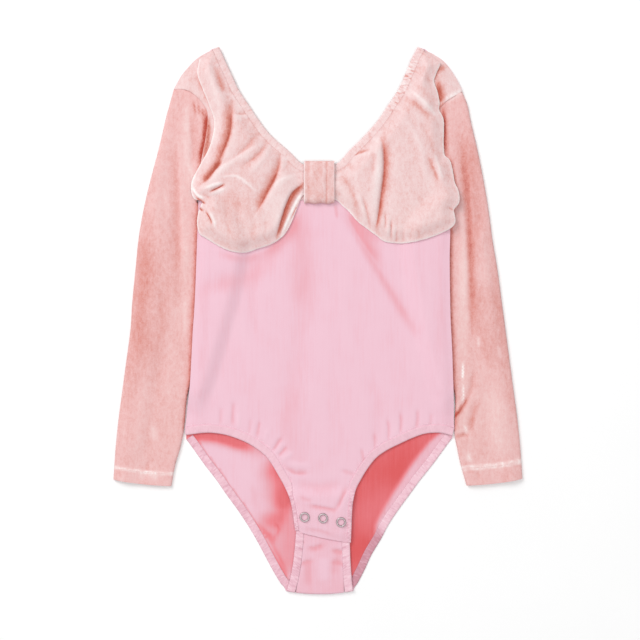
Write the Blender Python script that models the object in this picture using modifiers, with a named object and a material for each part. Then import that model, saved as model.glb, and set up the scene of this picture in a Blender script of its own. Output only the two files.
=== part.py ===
# A long-sleeved child's leotard with a velvet bow front, laid flat on its back.
# Lengths in the tables are millimetres: x to the wearer's left as seen from above,
# y towards the shoulders, z up from the surface. The meshes are written in metres.
from collections import namedtuple
from math import cos, pi, sin

import bmesh
import bpy
import numpy as np
from mathutils.geometry import delaunay_2d_cdt

MM = 0.001
COLLECTION = "leotard"

# Cloth thicknesses and the clearances between pieces
JERSEY = 1.1
VELVET = 1.3
BAND_WALL = 1.4
NECK_BINDING_THICK = 2.9
LEG_BINDING_THICK = 1.6
SEAM_GAP = 0.3
LAYER_GAP = 1.0

# Widths of the bound edges
NECK_BINDING_WIDTH = 7.5
LEG_BINDING_WIDTH = 8.0
FLAP_BINDING_WIDTH = 3.8

# Heights of the layers
FRONT_LIFT = 3.3          # underside of the front panels over the middle of the back
SEAM_LIFT = JERSEY + 0.45
NECK_LIFT = 2.2
LEG_LIFT = 2.0
SEAM_SLOPE = 11.0         # how far in from a seam the front reaches its full height
SLEEVE_THICK = 4.0
SLEEVE_CROWN = 1.4
SLEEVE_LIFT = SLEEVE_THICK + 0.6
SLEEVE_EDGE_RADIUS = 3.0
SLEEVE_CREASE = 0.9
CREASE_START = 12.0        # creases and crown begin this far from a folded edge
CROWN_START = 30.0         # the part that may lie under the body stays level
CROWN_SLOPE = 18.0
LIFT_REACH = 25.0         # the body starts to rise this far before a sleeve's edge
LIFT_SLOPE = 17.0
LIFT_TOP_Y = 148.0
LIFT_END_Y = -98.0
LIFT_FADE = 30.0
WELD = 0.01
LOBE_PUFF = 4.8
LOBE_PINCH = 2.0
LOBE_SLOPE = 14.0
LOBE_SPREAD = 26.0         # the bow opens out over this far from its band

# The crotch of the back folds up over this radius, under the flap of the front
FOLD_RADIUS = 1.9
FOLD_Y = -272.5
FOLD_MIDDLE_X = 1.5
FOLD_HALF_WIDTH = 34.0
FOLD_END_RISE = 3.0
FOLD_STEPS = 5
FOLD_GAP = 0.9             # extra room beside the bindings where they turn the fold
FOLD_GAP_REACH = 8.0
EXTENSION_TOP = 2 * FOLD_RADIUS
FLAP_RISE = 1.7
FLAP_START_Y = -165.0
FLAP_FULL_Y = -178.0

# The straight seam of the velvet yoke and the jersey front, under the bow
YOKE_SEAM_Y = 120.5

# Net spacing of the cloth panels
BODY_NET = 16.0
YOKE_NET = 11.0
LOBE_NET = 8.5
LOBE_STEP = 6.5
EDGE_STEP = 10.0
EDGE_RING = 4.0
ROW_CLEAR = 0.7
CORNER_CLEAR = 4.0         # an edge's own points stop this far from a corner
FLAP_CORNER_CLEAR = 3.0
CURVE_STEP = 0.5           # a curve is first read this finely where it is cut at exact places
CURVE_PIECES = 12          # straight pieces of a smooth curve between two given points
FOLD_ROUTE_STEP = 8.0
NET_ROWS = 0.87            # rows of a net, closer than its columns, so its triangles are even
NET_CLEAR = 0.55           # net points nearer than this share of the spacing to a row go
NET_EDGE_CLEAR = 0.4
RING_CLEAR = 0.8
CROTCH_COLUMNS = np.linspace(-0.8, 0.9, 9)        # shares of the fold's half width
CROTCH_BENDS = np.linspace(-0.2, 1.2, FOLD_STEPS + 3)     # shares of the half turn

# Edges of the garment as it lies: x, y
NECKLINE = ((-99, 274), (-93, 260.5), (-86, 245.5), (-79, 230.5), (-69, 215.5), (-59, 200.5),
            (-47, 185.5), (-29, 169.5), (-22, 162.4), (-17, 157.9), (-11, 155.9), (1, 155.6),
            (14, 155.9), (20, 157.9), (25, 162.4), (31, 169.5), (47, 185.5), (60, 200.5),
            (70, 215.5), (80, 230.5), (87, 245.5), (93, 260.5), (100, 274))
BACK_NECKLINE = ((-99, 274), (-95, 258), (-90, 240), (-83, 222), (-73, 204), (-60, 187),
                 (-42, 168), (-22, 152), (1, 147), (24, 152), (44, 168), (62, 187),
                 (75, 204), (85, 222), (92, 240), (96, 258), (100, 274))
SHOULDER_LEFT = ((-111, 268.5), (-118, 264.5), (-124, 260), (-130, 253.5), (-137, 245),
                 (-144.5, 231.5))
SHOULDER_RIGHT = ((112, 268.5), (119, 264.5), (125, 260.5), (132, 252.5), (137, 245),
                  (142, 236), (144.5, 229.5))
ARMHOLE_LEFT = ((-144.5, 231.5), (-136, 231.5), (-128, 229), (-118, 220.5), (-111, 209.5),
                (-111, 195.5), (-113, 180.5), (-116, 165.5), (-118, 152.5), (-118, 142.5))
ARMHOLE_RIGHT = ((144.5, 229.5), (137, 225), (129, 220), (123, 214), (120.5, 205.5),
                 (120, 185.5), (122, 165.5), (127, 150), (131, 140.5))
SIDE_LEFT = ((-118, 142.5), (-119.5, 115.5), (-120.5, 85.5), (-123, 20.5), (-125, -9.5),
             (-126, -29.5), (-128, -64.5), (-131, -89.5), (-132.7, -107.5))
SIDE_RIGHT = ((131, 140.5), (132, 115.5), (132, 85.5), (131.5, 60.5), (132, 20.5), (132.5, 0.5),
              (134, -29.5), (135, -59.5), (136, -89.5), (136, -107))
FRONT_LEG_LEFT = ((-132.8, -114.6), (-127, -114.2), (-118, -112.9), (-108, -112.5), (-93, -114.5),
                  (-78, -119.5), (-66, -125.5), (-55, -133.5), (-48, -141.5), (-39, -156.5), (-33, -167.5),
                  (-28, -179.5), (-25, -194.5), (-23, -210.5))
FRONT_LEG_RIGHT = ((134.5, -115.5), (122, -112.5), (107, -113.5), (94, -118), (82, -123.5),
                   (69, -130), (58, -138), (49, -149.5), (43, -159.5), (38, -169.5),
                   (35, -182.5), (34, -196), (33.5, -209), (33, -222.5))
BACK_LEG_LEFT = ((-132, -119.5), (-126, -127.5), (-114, -144.5), (-102, -160), (-92, -174.5),
                 (-81, -189.5), (-71, -204.5), (-62, -219.5), (-54, -234.5), (-46, -249.5),
                 (-38, -263), (-33, -269.5))
BACK_LEG_RIGHT = ((134.5, -118), (126, -129.5), (115, -144.5), (103, -159.5), (92, -174.5),
                  (81, -189.5), (71, -204.5), (63, -219.5), (54, -234.5), (47, -249.5),
                  (40, -263), (36, -269.5))
# Sides of the crotch extension, where they lie once it is folded up
EXTENSION_LEFT = ((-29, -262), (-27, -254.5), (-24.5, -239.5), (-23, -224.5), (-21.5, -204.5),
                  (-20, -182.5))
EXTENSION_RIGHT = ((34, -262), (33.5, -254.5), (32.5, -239.5), (32, -224.5), (31, -204.5),
                   (29.5, -182.5))
# Inner edges of the sleeves, which slide under the sides of the body
SLEEVE_INNER_LEFT = ((-118, 142.5), (-121, 130), (-120.5, 118), (-110, 105), (-96, 88),
                     (-92, 68), (-102, 20), (-122, -48), (-130.6, -74), (-133.4, -100),
                     (-135.2, -114.5), (-138.5, -129.5), (-143, -144.5), (-147, -166))
SLEEVE_INNER_RIGHT = ((131, 140.5), (134.5, 130), (133.5, 118), (123, 105), (109, 88),
                      (105, 68), (113, 20), (128, -48), (137, -74), (137, -100),
                      (137, -114.5), (139.8, -129.5), (143, -144.5), (149, -165.5))
SLEEVE_OUTER_LEFT = ((-144.5, 231.5), (-149, 215.5), (-153, 200.5), (-160, 170.5),
                     (-168, 140.5), (-175, 110.5), (-180, 80.5), (-183, 50.5), (-186, 20.5),
                     (-188, -9.5), (-192, -39.5), (-196, -69.5), (-200, -99.5), (-203, -129.5),
                     (-205, -159.5))
SLEEVE_OUTER_RIGHT = ((144.5, 229.5), (150, 215.5), (153, 200.5), (160, 170.5), (166, 140.5),
                      (171, 110.5), (175, 80.5), (180, 50.5), (184, 20.5), (188, -9.5),
                      (192, -39.5), (196, -69.5), (200, -99.5), (203, -129.5), (205, -158.5))
CUFF_LEFT = ((-205, -159.5), (-190, -162), (-170, -164.5), (-147, -166))
CUFF_RIGHT = ((205, -158.5), (190, -161.5), (170, -164), (149, -165.5))
FLAP_BOTTOM = ((-23, -210.5), (-8, -214.5), (12, -219), (33, -222.5))
# Free edges of the bow lobes, from the centre band out and up to the shoulder
LOBE_LEFT = ((-0.5, 122.5), (-8, 123.5), (-15, 125.5), (-20, 115.5), (-25, 102.5),
             (-31, 90.5), (-38, 82.5), (-48, 76.5), (-60, 72.5), (-73, 68.5), (-86, 69.5),
             (-98, 74.5), (-111, 82.5), (-118, 87.5), (-120, 98.5), (-118, 110.5),
             (-115, 118.5), (-123, 121.5), (-126, 130.5), (-125, 140.5), (-118, 154.5),
             (-110, 168.5), (-105, 182.5), (-103, 199.5), (-109, 217.5), (-115, 232.5),
             (-120, 247), (-118, 260.5))
LOBE_RIGHT = ((0.8, 121.5), (9, 121.5), (18, 120.5), (25, 114.5), (32, 108.5), (40, 99.5),
              (49, 92.5), (57, 86.5), (65, 80.5), (72, 78.5), (82, 77.5), (92, 78.5),
              (102, 80.5), (112, 83.5), (122, 87.5), (132, 92.5), (136.5, 99), (135, 110.5),
              (140, 117.5), (140, 127.5), (136, 138.5), (134, 150.5), (131, 160.5),
              (126, 165.5), (125, 180.5), (125, 200.5), (120.5, 210.5), (121, 217.5),
              (119, 228.5), (115.5, 238.5), (117, 245.5), (122, 257))
# Inner face of the centre band, from the neck edge over the bow and down: y, z
BAND_PROFILE = ((158.2, 2.2), (158.3, 4.6), (157.3, 6.2), (154, 7.3), (148, 8.4), (139, 9.0),
                (129, 9.0), (122, 8.6), (118.9, 7.2), (118.3, 4.9))
BAND_LEFT = -14.0
BAND_RIGHT = 17.0
BAND_MIDDLE = (BAND_LEFT + BAND_RIGHT) / 2
BAND_HALF = (BAND_RIGHT - BAND_LEFT) / 2
BAND_CROWN = 0.8
BAND_COLUMNS = 7

# Main folds: start, middle and end in plan, depth (down is minus) and half width
Fold = namedtuple("Fold", "x0 y0 x1 y1 x2 y2 depth width")
BODY_FOLDS = (
    Fold(-13, 80, -14, 0, -33, -110, -0.8, 13),
    Fold(17, 115, 47, 72, 102, -20, -0.8, 10),
    Fold(-31, 80, -73, 50, -118, 30, -0.8, 11),
    Fold(50, -50, 60, -90, 57, -130, -0.8, 9),
    Fold(-33, -147, 0, -151, 32, -149, -0.6, 8),
    Fold(-95, 20, -60, -40, -50, -95, 0.7, 14),
    Fold(85, 50, 98, -10, 96, -80, 0.6, 15),
)
LOBE_FOLDS = (
    Fold(-86, 223, -88, 190, -94, 163, -2.6, 8),
    Fold(-94, 163, -103, 151, -117, 138, -3.0, 7),
    Fold(-50, 180, -68, 164, -100, 148, -1.6, 7),
    Fold(-38, 168, -45, 144, -64, 112, -3.4, 7),
    Fold(-20, 128, -31, 107, -41, 86, -2.6, 6),
    Fold(-70, 205, -75, 185, -80, 170, 1.5, 8),
    Fold(-30, 150, -60, 128, -100, 124, 1.6, 9),
    Fold(-112, 119, -100, 105, -70, 95, 1.4, 8),
    Fold(62, 190, 66, 150, 57, 92, -3.0, 7),
    Fold(49, 170, 51, 162, 45, 148, -1.8, 6),
    Fold(22, 150, 33, 132, 39, 100, -2.2, 6),
    Fold(82, 210, 102, 160, 114, 128, 1.6, 9),
    Fold(87, 225, 107, 208, 122, 200, 1.2, 7),
    Fold(100, 180, 112, 168, 124, 155, -1.2, 7),
    Fold(84, 140, 90, 115, 86, 90, 1.2, 9),
)
SLEEVE_FOLDS = (
    Fold(-143, 170, -141, 95, -140, 20, -0.8, 9),
    Fold(-158, 120, -162, 60, -166, -20, 0.8, 9),
    Fold(-172, -60, -175, -100, -178, -140, 0.7, 10),
    Fold(144, 170, 152, 90, 155, -10, -0.9, 8),
    Fold(155, -10, 154, -35, 150, -60, -0.8, 8),
    Fold(162, 100, 168, 30, 172, -40, 0.8, 9),
    Fold(165, -70, 172, -100, 178, -140, 0.7, 10),
)

# Snap fasteners: x, y of each centre on the flap
SNAPS = ((-13.4, -196.5), (5, -197.5), (23, -201.5))
SNAP_RING_RADIUS = 4.1
SNAP_RING_TUBE = 0.9
SNAP_STUD_RADIUS = 4.2
SNAP_RING_SIDES = 18
SNAP_TUBE_SIDES = 6
SNAP_STUD_SIDES = 20
SNAP_RIM_STATIONS = 24


def smoothstep(values):
    """A soft step from 0 to 1."""
    t = np.clip(values, 0.0, 1.0)
    return t * t * (3.0 - 2.0 * t)


def smooth(points, spacing):
    """Points about `spacing` apart on a smooth curve through the given ones."""
    knots = np.array(points, dtype=float)
    ends = np.vstack((2 * knots[0] - knots[1], knots, 2 * knots[-1] - knots[-2]))
    curve = []
    for a, b, c, d in zip(ends, ends[1:], ends[2:], ends[3:]):
        for t in np.linspace(0.0, 1.0, CURVE_PIECES, endpoint=False):
            curve.append(0.5 * (2 * b + (c - a) * t + (2 * a - 5 * b + 4 * c - d) * t ** 2
                                + (3 * b - a - 3 * c + d) * t ** 3))
    curve.append(knots[-1])
    return evenly(np.array(curve), spacing)


def evenly(curve, spacing):
    """A polyline read again at even steps of about `spacing`."""
    lengths = np.concatenate(([0.0], np.cumsum(np.linalg.norm(np.diff(curve, axis=0), axis=1))))
    count = max(2, round(lengths[-1] / spacing))
    return at_lengths(curve, lengths, np.linspace(0.0, lengths[-1], count + 1))


def at_lengths(curve, lengths, wanted):
    """Points of a polyline at the wanted lengths along it."""
    return np.column_stack((np.interp(wanted, lengths, curve[:, 0]),
                            np.interp(wanted, lengths, curve[:, 1])))


def sideways(path, distance):
    """The path moved to the right of its own direction."""
    run = np.gradient(path, axis=0)
    run /= np.linalg.norm(run, axis=1)[:, None]
    return path + np.reshape(distance, (-1, 1)) * np.column_stack((run[:, 1], -run[:, 0]))


def distance_to(path, points):
    """How far each point lies from a polyline."""
    best = np.full(len(points), np.inf)
    for start, end in zip(path, path[1:]):
        run = end - start
        along = np.clip((points - start) @ run / max(run @ run, 1e-9), 0.0, 1.0)
        best = np.minimum(best, np.linalg.norm(points - start - along[:, None] * run, axis=1))
    return best


def inside(outline, points):
    """Which points lie inside a closed outline."""
    result = np.zeros(len(points), dtype=bool)
    x, y = points[:, 0], points[:, 1]
    for (x0, y0), (x1, y1) in zip(outline, np.roll(outline, -1, axis=0)):
        crosses = (y0 > y) != (y1 > y)
        with np.errstate(divide="ignore", invalid="ignore"):
            result ^= crosses & (x < (x1 - x0) * (y - y0) / (y1 - y0) + x0)
    return result


def folds(table, points):
    """The height that a table of folds adds at each point."""
    total = np.zeros(len(points))
    for fold in table:
        route = smooth(((fold.x0, fold.y0), (fold.x1, fold.y1), (fold.x2, fold.y2)), FOLD_ROUTE_STEP)
        total += fold.depth * np.exp(-(distance_to(route, points) / fold.width) ** 2)
    return total


# The smooth edges, read once
SEAM_EDGES = [smooth(edge, EDGE_STEP) for edge in
              (SIDE_LEFT, SIDE_RIGHT, SHOULDER_LEFT, SHOULDER_RIGHT)]
NECK_EDGE = smooth(NECKLINE, EDGE_STEP)
BACK_NECK_EDGE = smooth(BACK_NECKLINE, EDGE_STEP)
LEG_EDGES = {"left": smooth(FRONT_LEG_LEFT, EDGE_STEP), "right": smooth(FRONT_LEG_RIGHT, EDGE_STEP)}
SLEEVE_INNER_EDGES = [smooth(edge, EDGE_STEP) for edge in (SLEEVE_INNER_LEFT, SLEEVE_INNER_RIGHT)]


def sleeve_lift(points):
    """How far the body is raised where a sleeve lies under its side."""
    lift = np.zeros(len(points))
    x, y = points[:, 0], points[:, 1]
    along = smoothstep((LIFT_TOP_Y - y) / LIFT_FADE) * smoothstep((y - LIFT_END_Y) / LIFT_FADE)
    for sign, edge in zip((-1.0, 1.0), SLEEVE_INNER_EDGES):
        order = np.argsort(edge[:, 1])
        edge_x = np.interp(y, edge[order, 1], edge[order, 0])
        past = sign * (x - edge_x)
        distance = np.where(past > 0.0, 1.0, -1.0) * distance_to(edge, points)
        lift = np.maximum(lift, smoothstep((distance + LIFT_REACH) / LIFT_SLOPE))
    return SLEEVE_LIFT * lift * along


def flap_part(points):
    """0 on the body of the front, 1 on its crotch flap."""
    return smoothstep((FLAP_START_Y - points[:, 1]) / (FLAP_START_Y - FLAP_FULL_Y))


def front_binding_width(path):
    """Width of the front leg binding, narrower down the sides of the flap."""
    return LEG_BINDING_WIDTH + (FLAP_BINDING_WIDTH - LEG_BINDING_WIDTH) * flap_part(path)


def front_height(points, seams=True):
    """Underside of the front yoke and front body."""
    flap = flap_part(points)
    legs = np.minimum(distance_to(LEG_EDGES["left"], points), distance_to(LEG_EDGES["right"], points))
    leg_base = LEG_LIFT + (EXTENSION_TOP + SEAM_GAP - LEG_LIFT) * flap
    full = FRONT_LIFT + (EXTENSION_TOP + FLAP_RISE - FRONT_LIFT) * flap + folds(BODY_FOLDS, points)
    height = leg_base + (full - leg_base) * smoothstep(legs / SEAM_SLOPE)
    neck = smoothstep(distance_to(NECK_EDGE, points) / SEAM_SLOPE)
    height = NECK_LIFT + (height - NECK_LIFT) * neck
    if seams:
        seam = np.min([distance_to(edge, points) for edge in SEAM_EDGES], axis=0)
        height = SEAM_LIFT + (height - SEAM_LIFT) * smoothstep(seam / SEAM_SLOPE)
    return height + sleeve_lift(points)


def lobe_height(points, outline):
    """Underside of a bow lobe, puffed between its edges and pinched at the centre band."""
    floor = front_height(points, seams=False) + VELVET + LAYER_GAP
    spread = smoothstep((np.abs(points[:, 0] - BAND_MIDDLE) - BAND_HALF) / LOBE_SPREAD)
    rise = smoothstep(distance_to(np.vstack((outline, outline[:1])), points) / LOBE_SLOPE)
    puff = (LOBE_PINCH + (LOBE_PUFF - LOBE_PINCH) * spread) * rise
    return floor + np.maximum(puff + rise * spread * folds(LOBE_FOLDS, points), 0.0)


def fold_line(x):
    """y of the middle of the crotch fold."""
    return FOLD_Y + FOLD_END_RISE * ((x - FOLD_MIDDLE_X) / FOLD_HALF_WIDTH) ** 2


def unfolded(points):
    """Where points of the folded-up extension lie on the flat cut of the back."""
    points = np.array(points, dtype=float)
    points[:, 1] = 2 * fold_line(points[:, 0]) - pi * FOLD_RADIUS - points[:, 1]
    return points


def fold_up(points):
    """Positions of the flat cut of the back, with the crotch folded up over itself."""
    x, y = points[:, 0], points[:, 1]
    line = fold_line(x)
    past = line - y
    turn = np.clip(past / FOLD_RADIUS, 0.0, pi)
    folded_y = line - FOLD_RADIUS * np.sin(turn) + np.maximum(past - pi * FOLD_RADIUS, 0.0)
    return np.column_stack((x, np.where(past > 0.0, folded_y, y),
                            FOLD_RADIUS * (1.0 - np.cos(turn)) + sleeve_lift(points)))


def fill(outline, spacing, rows=None):
    """Triangles over a closed outline, from an even net and from rows of points given for it.

    Without rows, a ring of points follows the outline just inside it.
    """
    ringed = rows is None
    net_x = np.arange(outline[:, 0].min(), outline[:, 0].max(), spacing)
    net_y = np.arange(outline[:, 1].min(), outline[:, 1].max(), spacing * NET_ROWS)
    net = np.array([(x + 0.5 * spacing * (row % 2), y) for row, y in enumerate(net_y) for x in net_x])
    closed = np.vstack((outline, outline[:1]))
    side = EDGE_RING if inside(outline, sideways(closed, 0.5)[1:2])[0] else -EDGE_RING
    ring = sideways(closed, side)[:-1]
    ring = ring[inside(outline, ring) & (distance_to(closed, ring) > RING_CLEAR * EDGE_RING)]
    net = net[inside(outline, net)]
    clear = (EDGE_RING if ringed else 0.0) + NET_EDGE_CLEAR * spacing
    net = net[distance_to(closed, net) > clear]
    extra = ring if ringed else rows[inside(outline, rows) & (distance_to(closed, rows) > ROW_CLEAR)]
    net = np.vstack((extra, net[distance_to_points(extra, net) > NET_CLEAR * spacing]))
    points = np.vstack((outline, net))
    border = [(i, (i + 1) % len(outline)) for i in range(len(outline))]
    verts, _, faces, *_ = delaunay_2d_cdt([tuple(p) for p in points], border, [], 1, 1e-4)
    return np.array([tuple(v) for v in verts]), faces


def distance_to_points(others, points):
    """How far each point lies from the nearest of some others."""
    gaps = points[:, None, :] - others[None, :, :]
    return np.linalg.norm(gaps, axis=2).min(axis=1)


def add_object(name, mesh, material):
    """Link a mesh as one named piece of the garment."""
    mesh.materials.append(material)
    piece = bpy.data.objects.new(name, mesh)
    bpy.data.collections[COLLECTION].objects.link(piece)
    return piece


def thicken(piece, wall):
    """Give a cloth surface its wall, on the side its faces point to, or behind them if minus."""
    solidify = piece.modifiers.new("wall", "SOLIDIFY")
    solidify.thickness = wall * MM
    solidify.offset = 1.0


def panel(name, outline, spacing, place, wall, material, rows=None):
    """A cut piece of cloth: a filled outline, put in place and given its wall."""
    flat, faces = fill(outline, spacing, rows)
    mesh = bpy.data.meshes.new(name)
    mesh.from_pydata([tuple(p * MM) for p in place(flat)], [], faces)
    mesh.shade_smooth()
    piece = add_object(name, mesh, material)
    thicken(piece, wall)


def grid(name, columns, rows, place, material):
    """A net of points, each put in place by its column and row."""
    bm = bmesh.new()
    made = bmesh.ops.create_grid(bm, x_segments=columns - 1, y_segments=rows - 1, size=1)
    for index, vert in enumerate(made["verts"]):
        vert.co = [value * MM for value in place(index % columns, index // columns)]
    mesh = bpy.data.meshes.new(name)
    bm.to_mesh(mesh)
    bm.free()
    mesh.shade_smooth()
    return add_object(name, mesh, material)


def strip(name, path, width, place, wall, material):
    """A bound edge: a strip of cloth along a path, to the right of its direction."""
    across = [sideways(path, share * width) for share in (0.0, 0.5, 1.0)]
    placed = [place(line) for line in across]
    piece = grid(name, len(path), len(across), lambda i, j: placed[j][i], material)
    facing = piece.data.polygons[len(path) // 3].normal.z
    thicken(piece, wall if facing > 0.0 else -wall)


def on_front(points):
    """Points of the flat cut raised to the underside of the front."""
    return np.column_stack((points, front_height(points)))


def body_outline(neck, top_y=None):
    """The upper outline of a body panel: neck, right shoulder, armhole and side."""
    right = [smooth(np.vstack((neck[-1:], SHOULDER_RIGHT)), EDGE_STEP)[1:-1],
             sideways(armhole_points("right"), SEAM_GAP)]
    left = [smooth(np.vstack((neck[:1], SHOULDER_LEFT)), EDGE_STEP)[1:-1],
            sideways(armhole_points("left"), -SEAM_GAP)]
    sides = [smooth(SIDE_RIGHT, EDGE_STEP)[1:], smooth(SIDE_LEFT, EDGE_STEP)[1:]]
    if top_y is not None:
        sides = [np.vstack((side[side[:, 1] > top_y + CORNER_CLEAR],
                            (np.interp(-top_y, -side[:, 1], side[:, 0]), top_y)))
                 for side in sides]
    return [neck, *right, sides[0]], [sides[1][::-1], left[1][::-1], left[0][::-1]]


def armhole_points(side):
    """Stations of the armhole seam, shared by the body panels and the sleeve."""
    return smooth(ARMHOLE_LEFT if side == "left" else ARMHOLE_RIGHT, EDGE_STEP)


def make_yoke(velvet):
    neck = sideways(NECK_EDGE, NECK_BINDING_WIDTH + SEAM_GAP)
    right, left = body_outline(neck, YOKE_SEAM_Y)
    seam_ends = right[-1][-1], left[0][0]
    seam = evenly(np.array(seam_ends), EDGE_STEP)[1:-1]
    panel("front_yoke", np.vstack((*right, seam, *left)), YOKE_NET, on_front, VELVET, velvet)


def make_front(jersey):
    legs = {side: sideways(edge, sign * (front_binding_width(edge) + SEAM_GAP))
            for (side, edge), sign in zip(LEG_EDGES.items(), (-1.0, 1.0))}
    sides = []
    for table in (SIDE_LEFT, SIDE_RIGHT):
        side = smooth(table, EDGE_STEP)
        top = np.interp(-YOKE_SEAM_Y, -side[:, 1], side[:, 0])
        leg_top = legs["left" if table is SIDE_LEFT else "right"][0][1]
        kept = (side[:, 1] < YOKE_SEAM_Y - CORNER_CLEAR) & (side[:, 1] > leg_top + CORNER_CLEAR)
        sides.append(np.vstack(((top, YOKE_SEAM_Y - SEAM_GAP), side[kept])))
    seam = evenly(np.array((sides[1][0], sides[0][0])), EDGE_STEP)[1:-1]
    flap = smooth(FLAP_BOTTOM, LOBE_STEP)
    flap = flap[(flap[:, 0] > legs["left"][-1][0] + FLAP_CORNER_CLEAR)
                & (flap[:, 0] < legs["right"][-1][0] - FLAP_CORNER_CLEAR)]
    outline = np.vstack((seam, sides[0], legs["left"], flap, legs["right"][::-1], sides[1][::-1]))
    panel("front_body", outline, BODY_NET, on_front, JERSEY, jersey)


def back_leg(side):
    """The leg edge of the back on the flat cut, from the hip past the crotch fold."""
    lower, upper = ((BACK_LEG_LEFT, EXTENSION_LEFT) if side == "left"
                    else (BACK_LEG_RIGHT, EXTENSION_RIGHT))
    curve = smooth(np.vstack((lower, unfolded(upper))), CURVE_STEP)
    line = fold_line(curve[:, 0])
    bend = (curve[:, 1] <= line) & (curve[:, 1] >= line - pi * FOLD_RADIUS)
    first, last = np.flatnonzero(bend)[[0, -1]]
    turn = evenly(curve[first:last + 1], pi * FOLD_RADIUS / FOLD_STEPS)
    return np.vstack((evenly(curve[:first + 1], EDGE_STEP)[:-1], turn,
                      evenly(curve[last:], EDGE_STEP)[1:]))


def make_back(jersey, binding):
    neck = sideways(BACK_NECK_EDGE, NECK_BINDING_WIDTH + SEAM_GAP)
    right, left = body_outline(neck)
    legs = {side: back_leg(side) for side in ("left", "right")}
    inner = {}
    for side, sign in (("left", -1.0), ("right", 1.0)):
        from_fold = legs[side][:, 1] - fold_line(legs[side][:, 0]) + 0.5 * pi * FOLD_RADIUS
        gap = SEAM_GAP + FOLD_GAP * np.exp(-(from_fold / FOLD_GAP_REACH) ** 2)
        inner[side] = sideways(legs[side], sign * (LEG_BINDING_WIDTH + gap))
    top = evenly(np.array((inner["right"][-1], inner["left"][-1])), EDGE_STEP)[1:-1]
    outline = np.vstack((*right, inner["right"], top, inner["left"][::-1], *left))
    columns = FOLD_MIDDLE_X + FOLD_HALF_WIDTH * CROTCH_COLUMNS
    rows = np.array([(x, fold_line(x) - bend * pi * FOLD_RADIUS)
                     for bend in CROTCH_BENDS for x in columns])
    panel("back_body", outline, BODY_NET, fold_up, JERSEY, jersey, rows)
    for side, sign in (("left", -1.0), ("right", 1.0)):
        strip(f"leg_binding_back_{side}", legs[side], sign * LEG_BINDING_WIDTH, fold_up,
              JERSEY, binding)
    strip("neck_binding_back", BACK_NECK_EDGE, NECK_BINDING_WIDTH,
          lambda points: np.column_stack((points, np.zeros(len(points)))), JERSEY, binding)


def make_front_bindings(velvet, binding):
    strip("neck_binding_front", NECK_EDGE, NECK_BINDING_WIDTH, on_front, NECK_BINDING_THICK, velvet)
    for side, sign in (("left", -1.0), ("right", 1.0)):
        edge = LEG_EDGES[side]
        strip(f"leg_binding_front_{side}", edge, sign * front_binding_width(edge), on_front,
              LEG_BINDING_THICK, binding)


def sleeve_heights(flat, outer, inner, armhole):
    """Top and underside of a flattened sleeve, round along its two folded edges."""
    edge = np.minimum(distance_to(outer, flat), distance_to(inner, flat))
    edge[edge < WELD] = 0.0
    bend = np.sqrt(1.0 - (1.0 - np.minimum(edge / SLEEVE_EDGE_RADIUS, 1.0)) ** 2)
    body_side = np.minimum(distance_to(inner, flat), distance_to(armhole, flat))
    free = smoothstep((body_side - CROWN_START) / CROWN_SLOPE)
    creases = np.clip(folds(SLEEVE_FOLDS, flat), -SLEEVE_CREASE, SLEEVE_CREASE)
    creases = np.minimum(creases, 0.0) + free * np.maximum(creases, 0.0)
    crown = SLEEVE_CROWN * free * smoothstep(edge / CREASE_START)
    half = SLEEVE_THICK / 2
    return half + half * bend + crown + creases * smoothstep(edge / CREASE_START), half - half * bend


def make_sleeve(side, velvet):
    """A flattened tube, open at the armhole and the cuff: two layers joined along the folds."""
    tables = ((SLEEVE_OUTER_LEFT, SLEEVE_INNER_LEFT, CUFF_LEFT) if side == "left"
              else (SLEEVE_OUTER_RIGHT, SLEEVE_INNER_RIGHT, CUFF_RIGHT))
    outer, inner, cuff = (smooth(table, EDGE_STEP) for table in tables)
    armhole = armhole_points(side)
    outline = np.vstack((armhole[:-1], inner[:-1], cuff[:0:-1], outer[:0:-1]))
    sign = 1.0 if side == "left" else -1.0
    rows = np.vstack([sideways(edge, sign * turn * step) for edge, turn in ((outer, -1.0), (inner, 1.0))
                      for step in (SLEEVE_EDGE_RADIUS / 3, SLEEVE_EDGE_RADIUS)])
    flat, faces = fill(outline, BODY_NET, rows)
    top, bottom = sleeve_heights(flat, outer, inner, armhole)
    points = np.vstack((np.column_stack((flat, top)), np.column_stack((flat, bottom))))
    lower = [tuple(index + len(flat) for index in reversed(face)) for face in faces]
    mesh = bpy.data.meshes.new(f"sleeve_{side}")
    mesh.from_pydata([tuple(p * MM) for p in points], [], faces + lower)
    bm = bmesh.new()
    bm.from_mesh(mesh)
    bmesh.ops.remove_doubles(bm, verts=bm.verts, dist=WELD * MM)
    bm.to_mesh(mesh)
    bm.free()
    mesh.shade_smooth()
    thicken(add_object(f"sleeve_{side}", mesh, velvet), -VELVET)


def make_lobes(velvet):
    neck = sideways(NECK_EDGE, NECK_BINDING_WIDTH + SEAM_GAP)
    for side, table in (("left", LOBE_LEFT), ("right", LOBE_RIGHT)):
        free = smooth(table, LOBE_STEP)
        sign = -1.0 if side == "left" else 1.0
        beside = neck[sign * (neck[:, 0] - free[0][0]) > 1.0]
        beside = beside[1:] if side == "left" else beside[-2::-1]
        centre = np.array([(free[0][0], np.interp(free[0][0], neck[:, 0], neck[:, 1]))])
        middle = evenly(np.vstack((centre, free[:1])), LOBE_STEP)[1:-1]
        outline = np.vstack((beside, centre, middle, free))

        def place(points, outline=outline):
            return np.column_stack((points, lobe_height(points, outline)))

        panel(f"bow_lobe_{side}", outline, LOBE_NET, place, VELVET, velvet)


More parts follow.
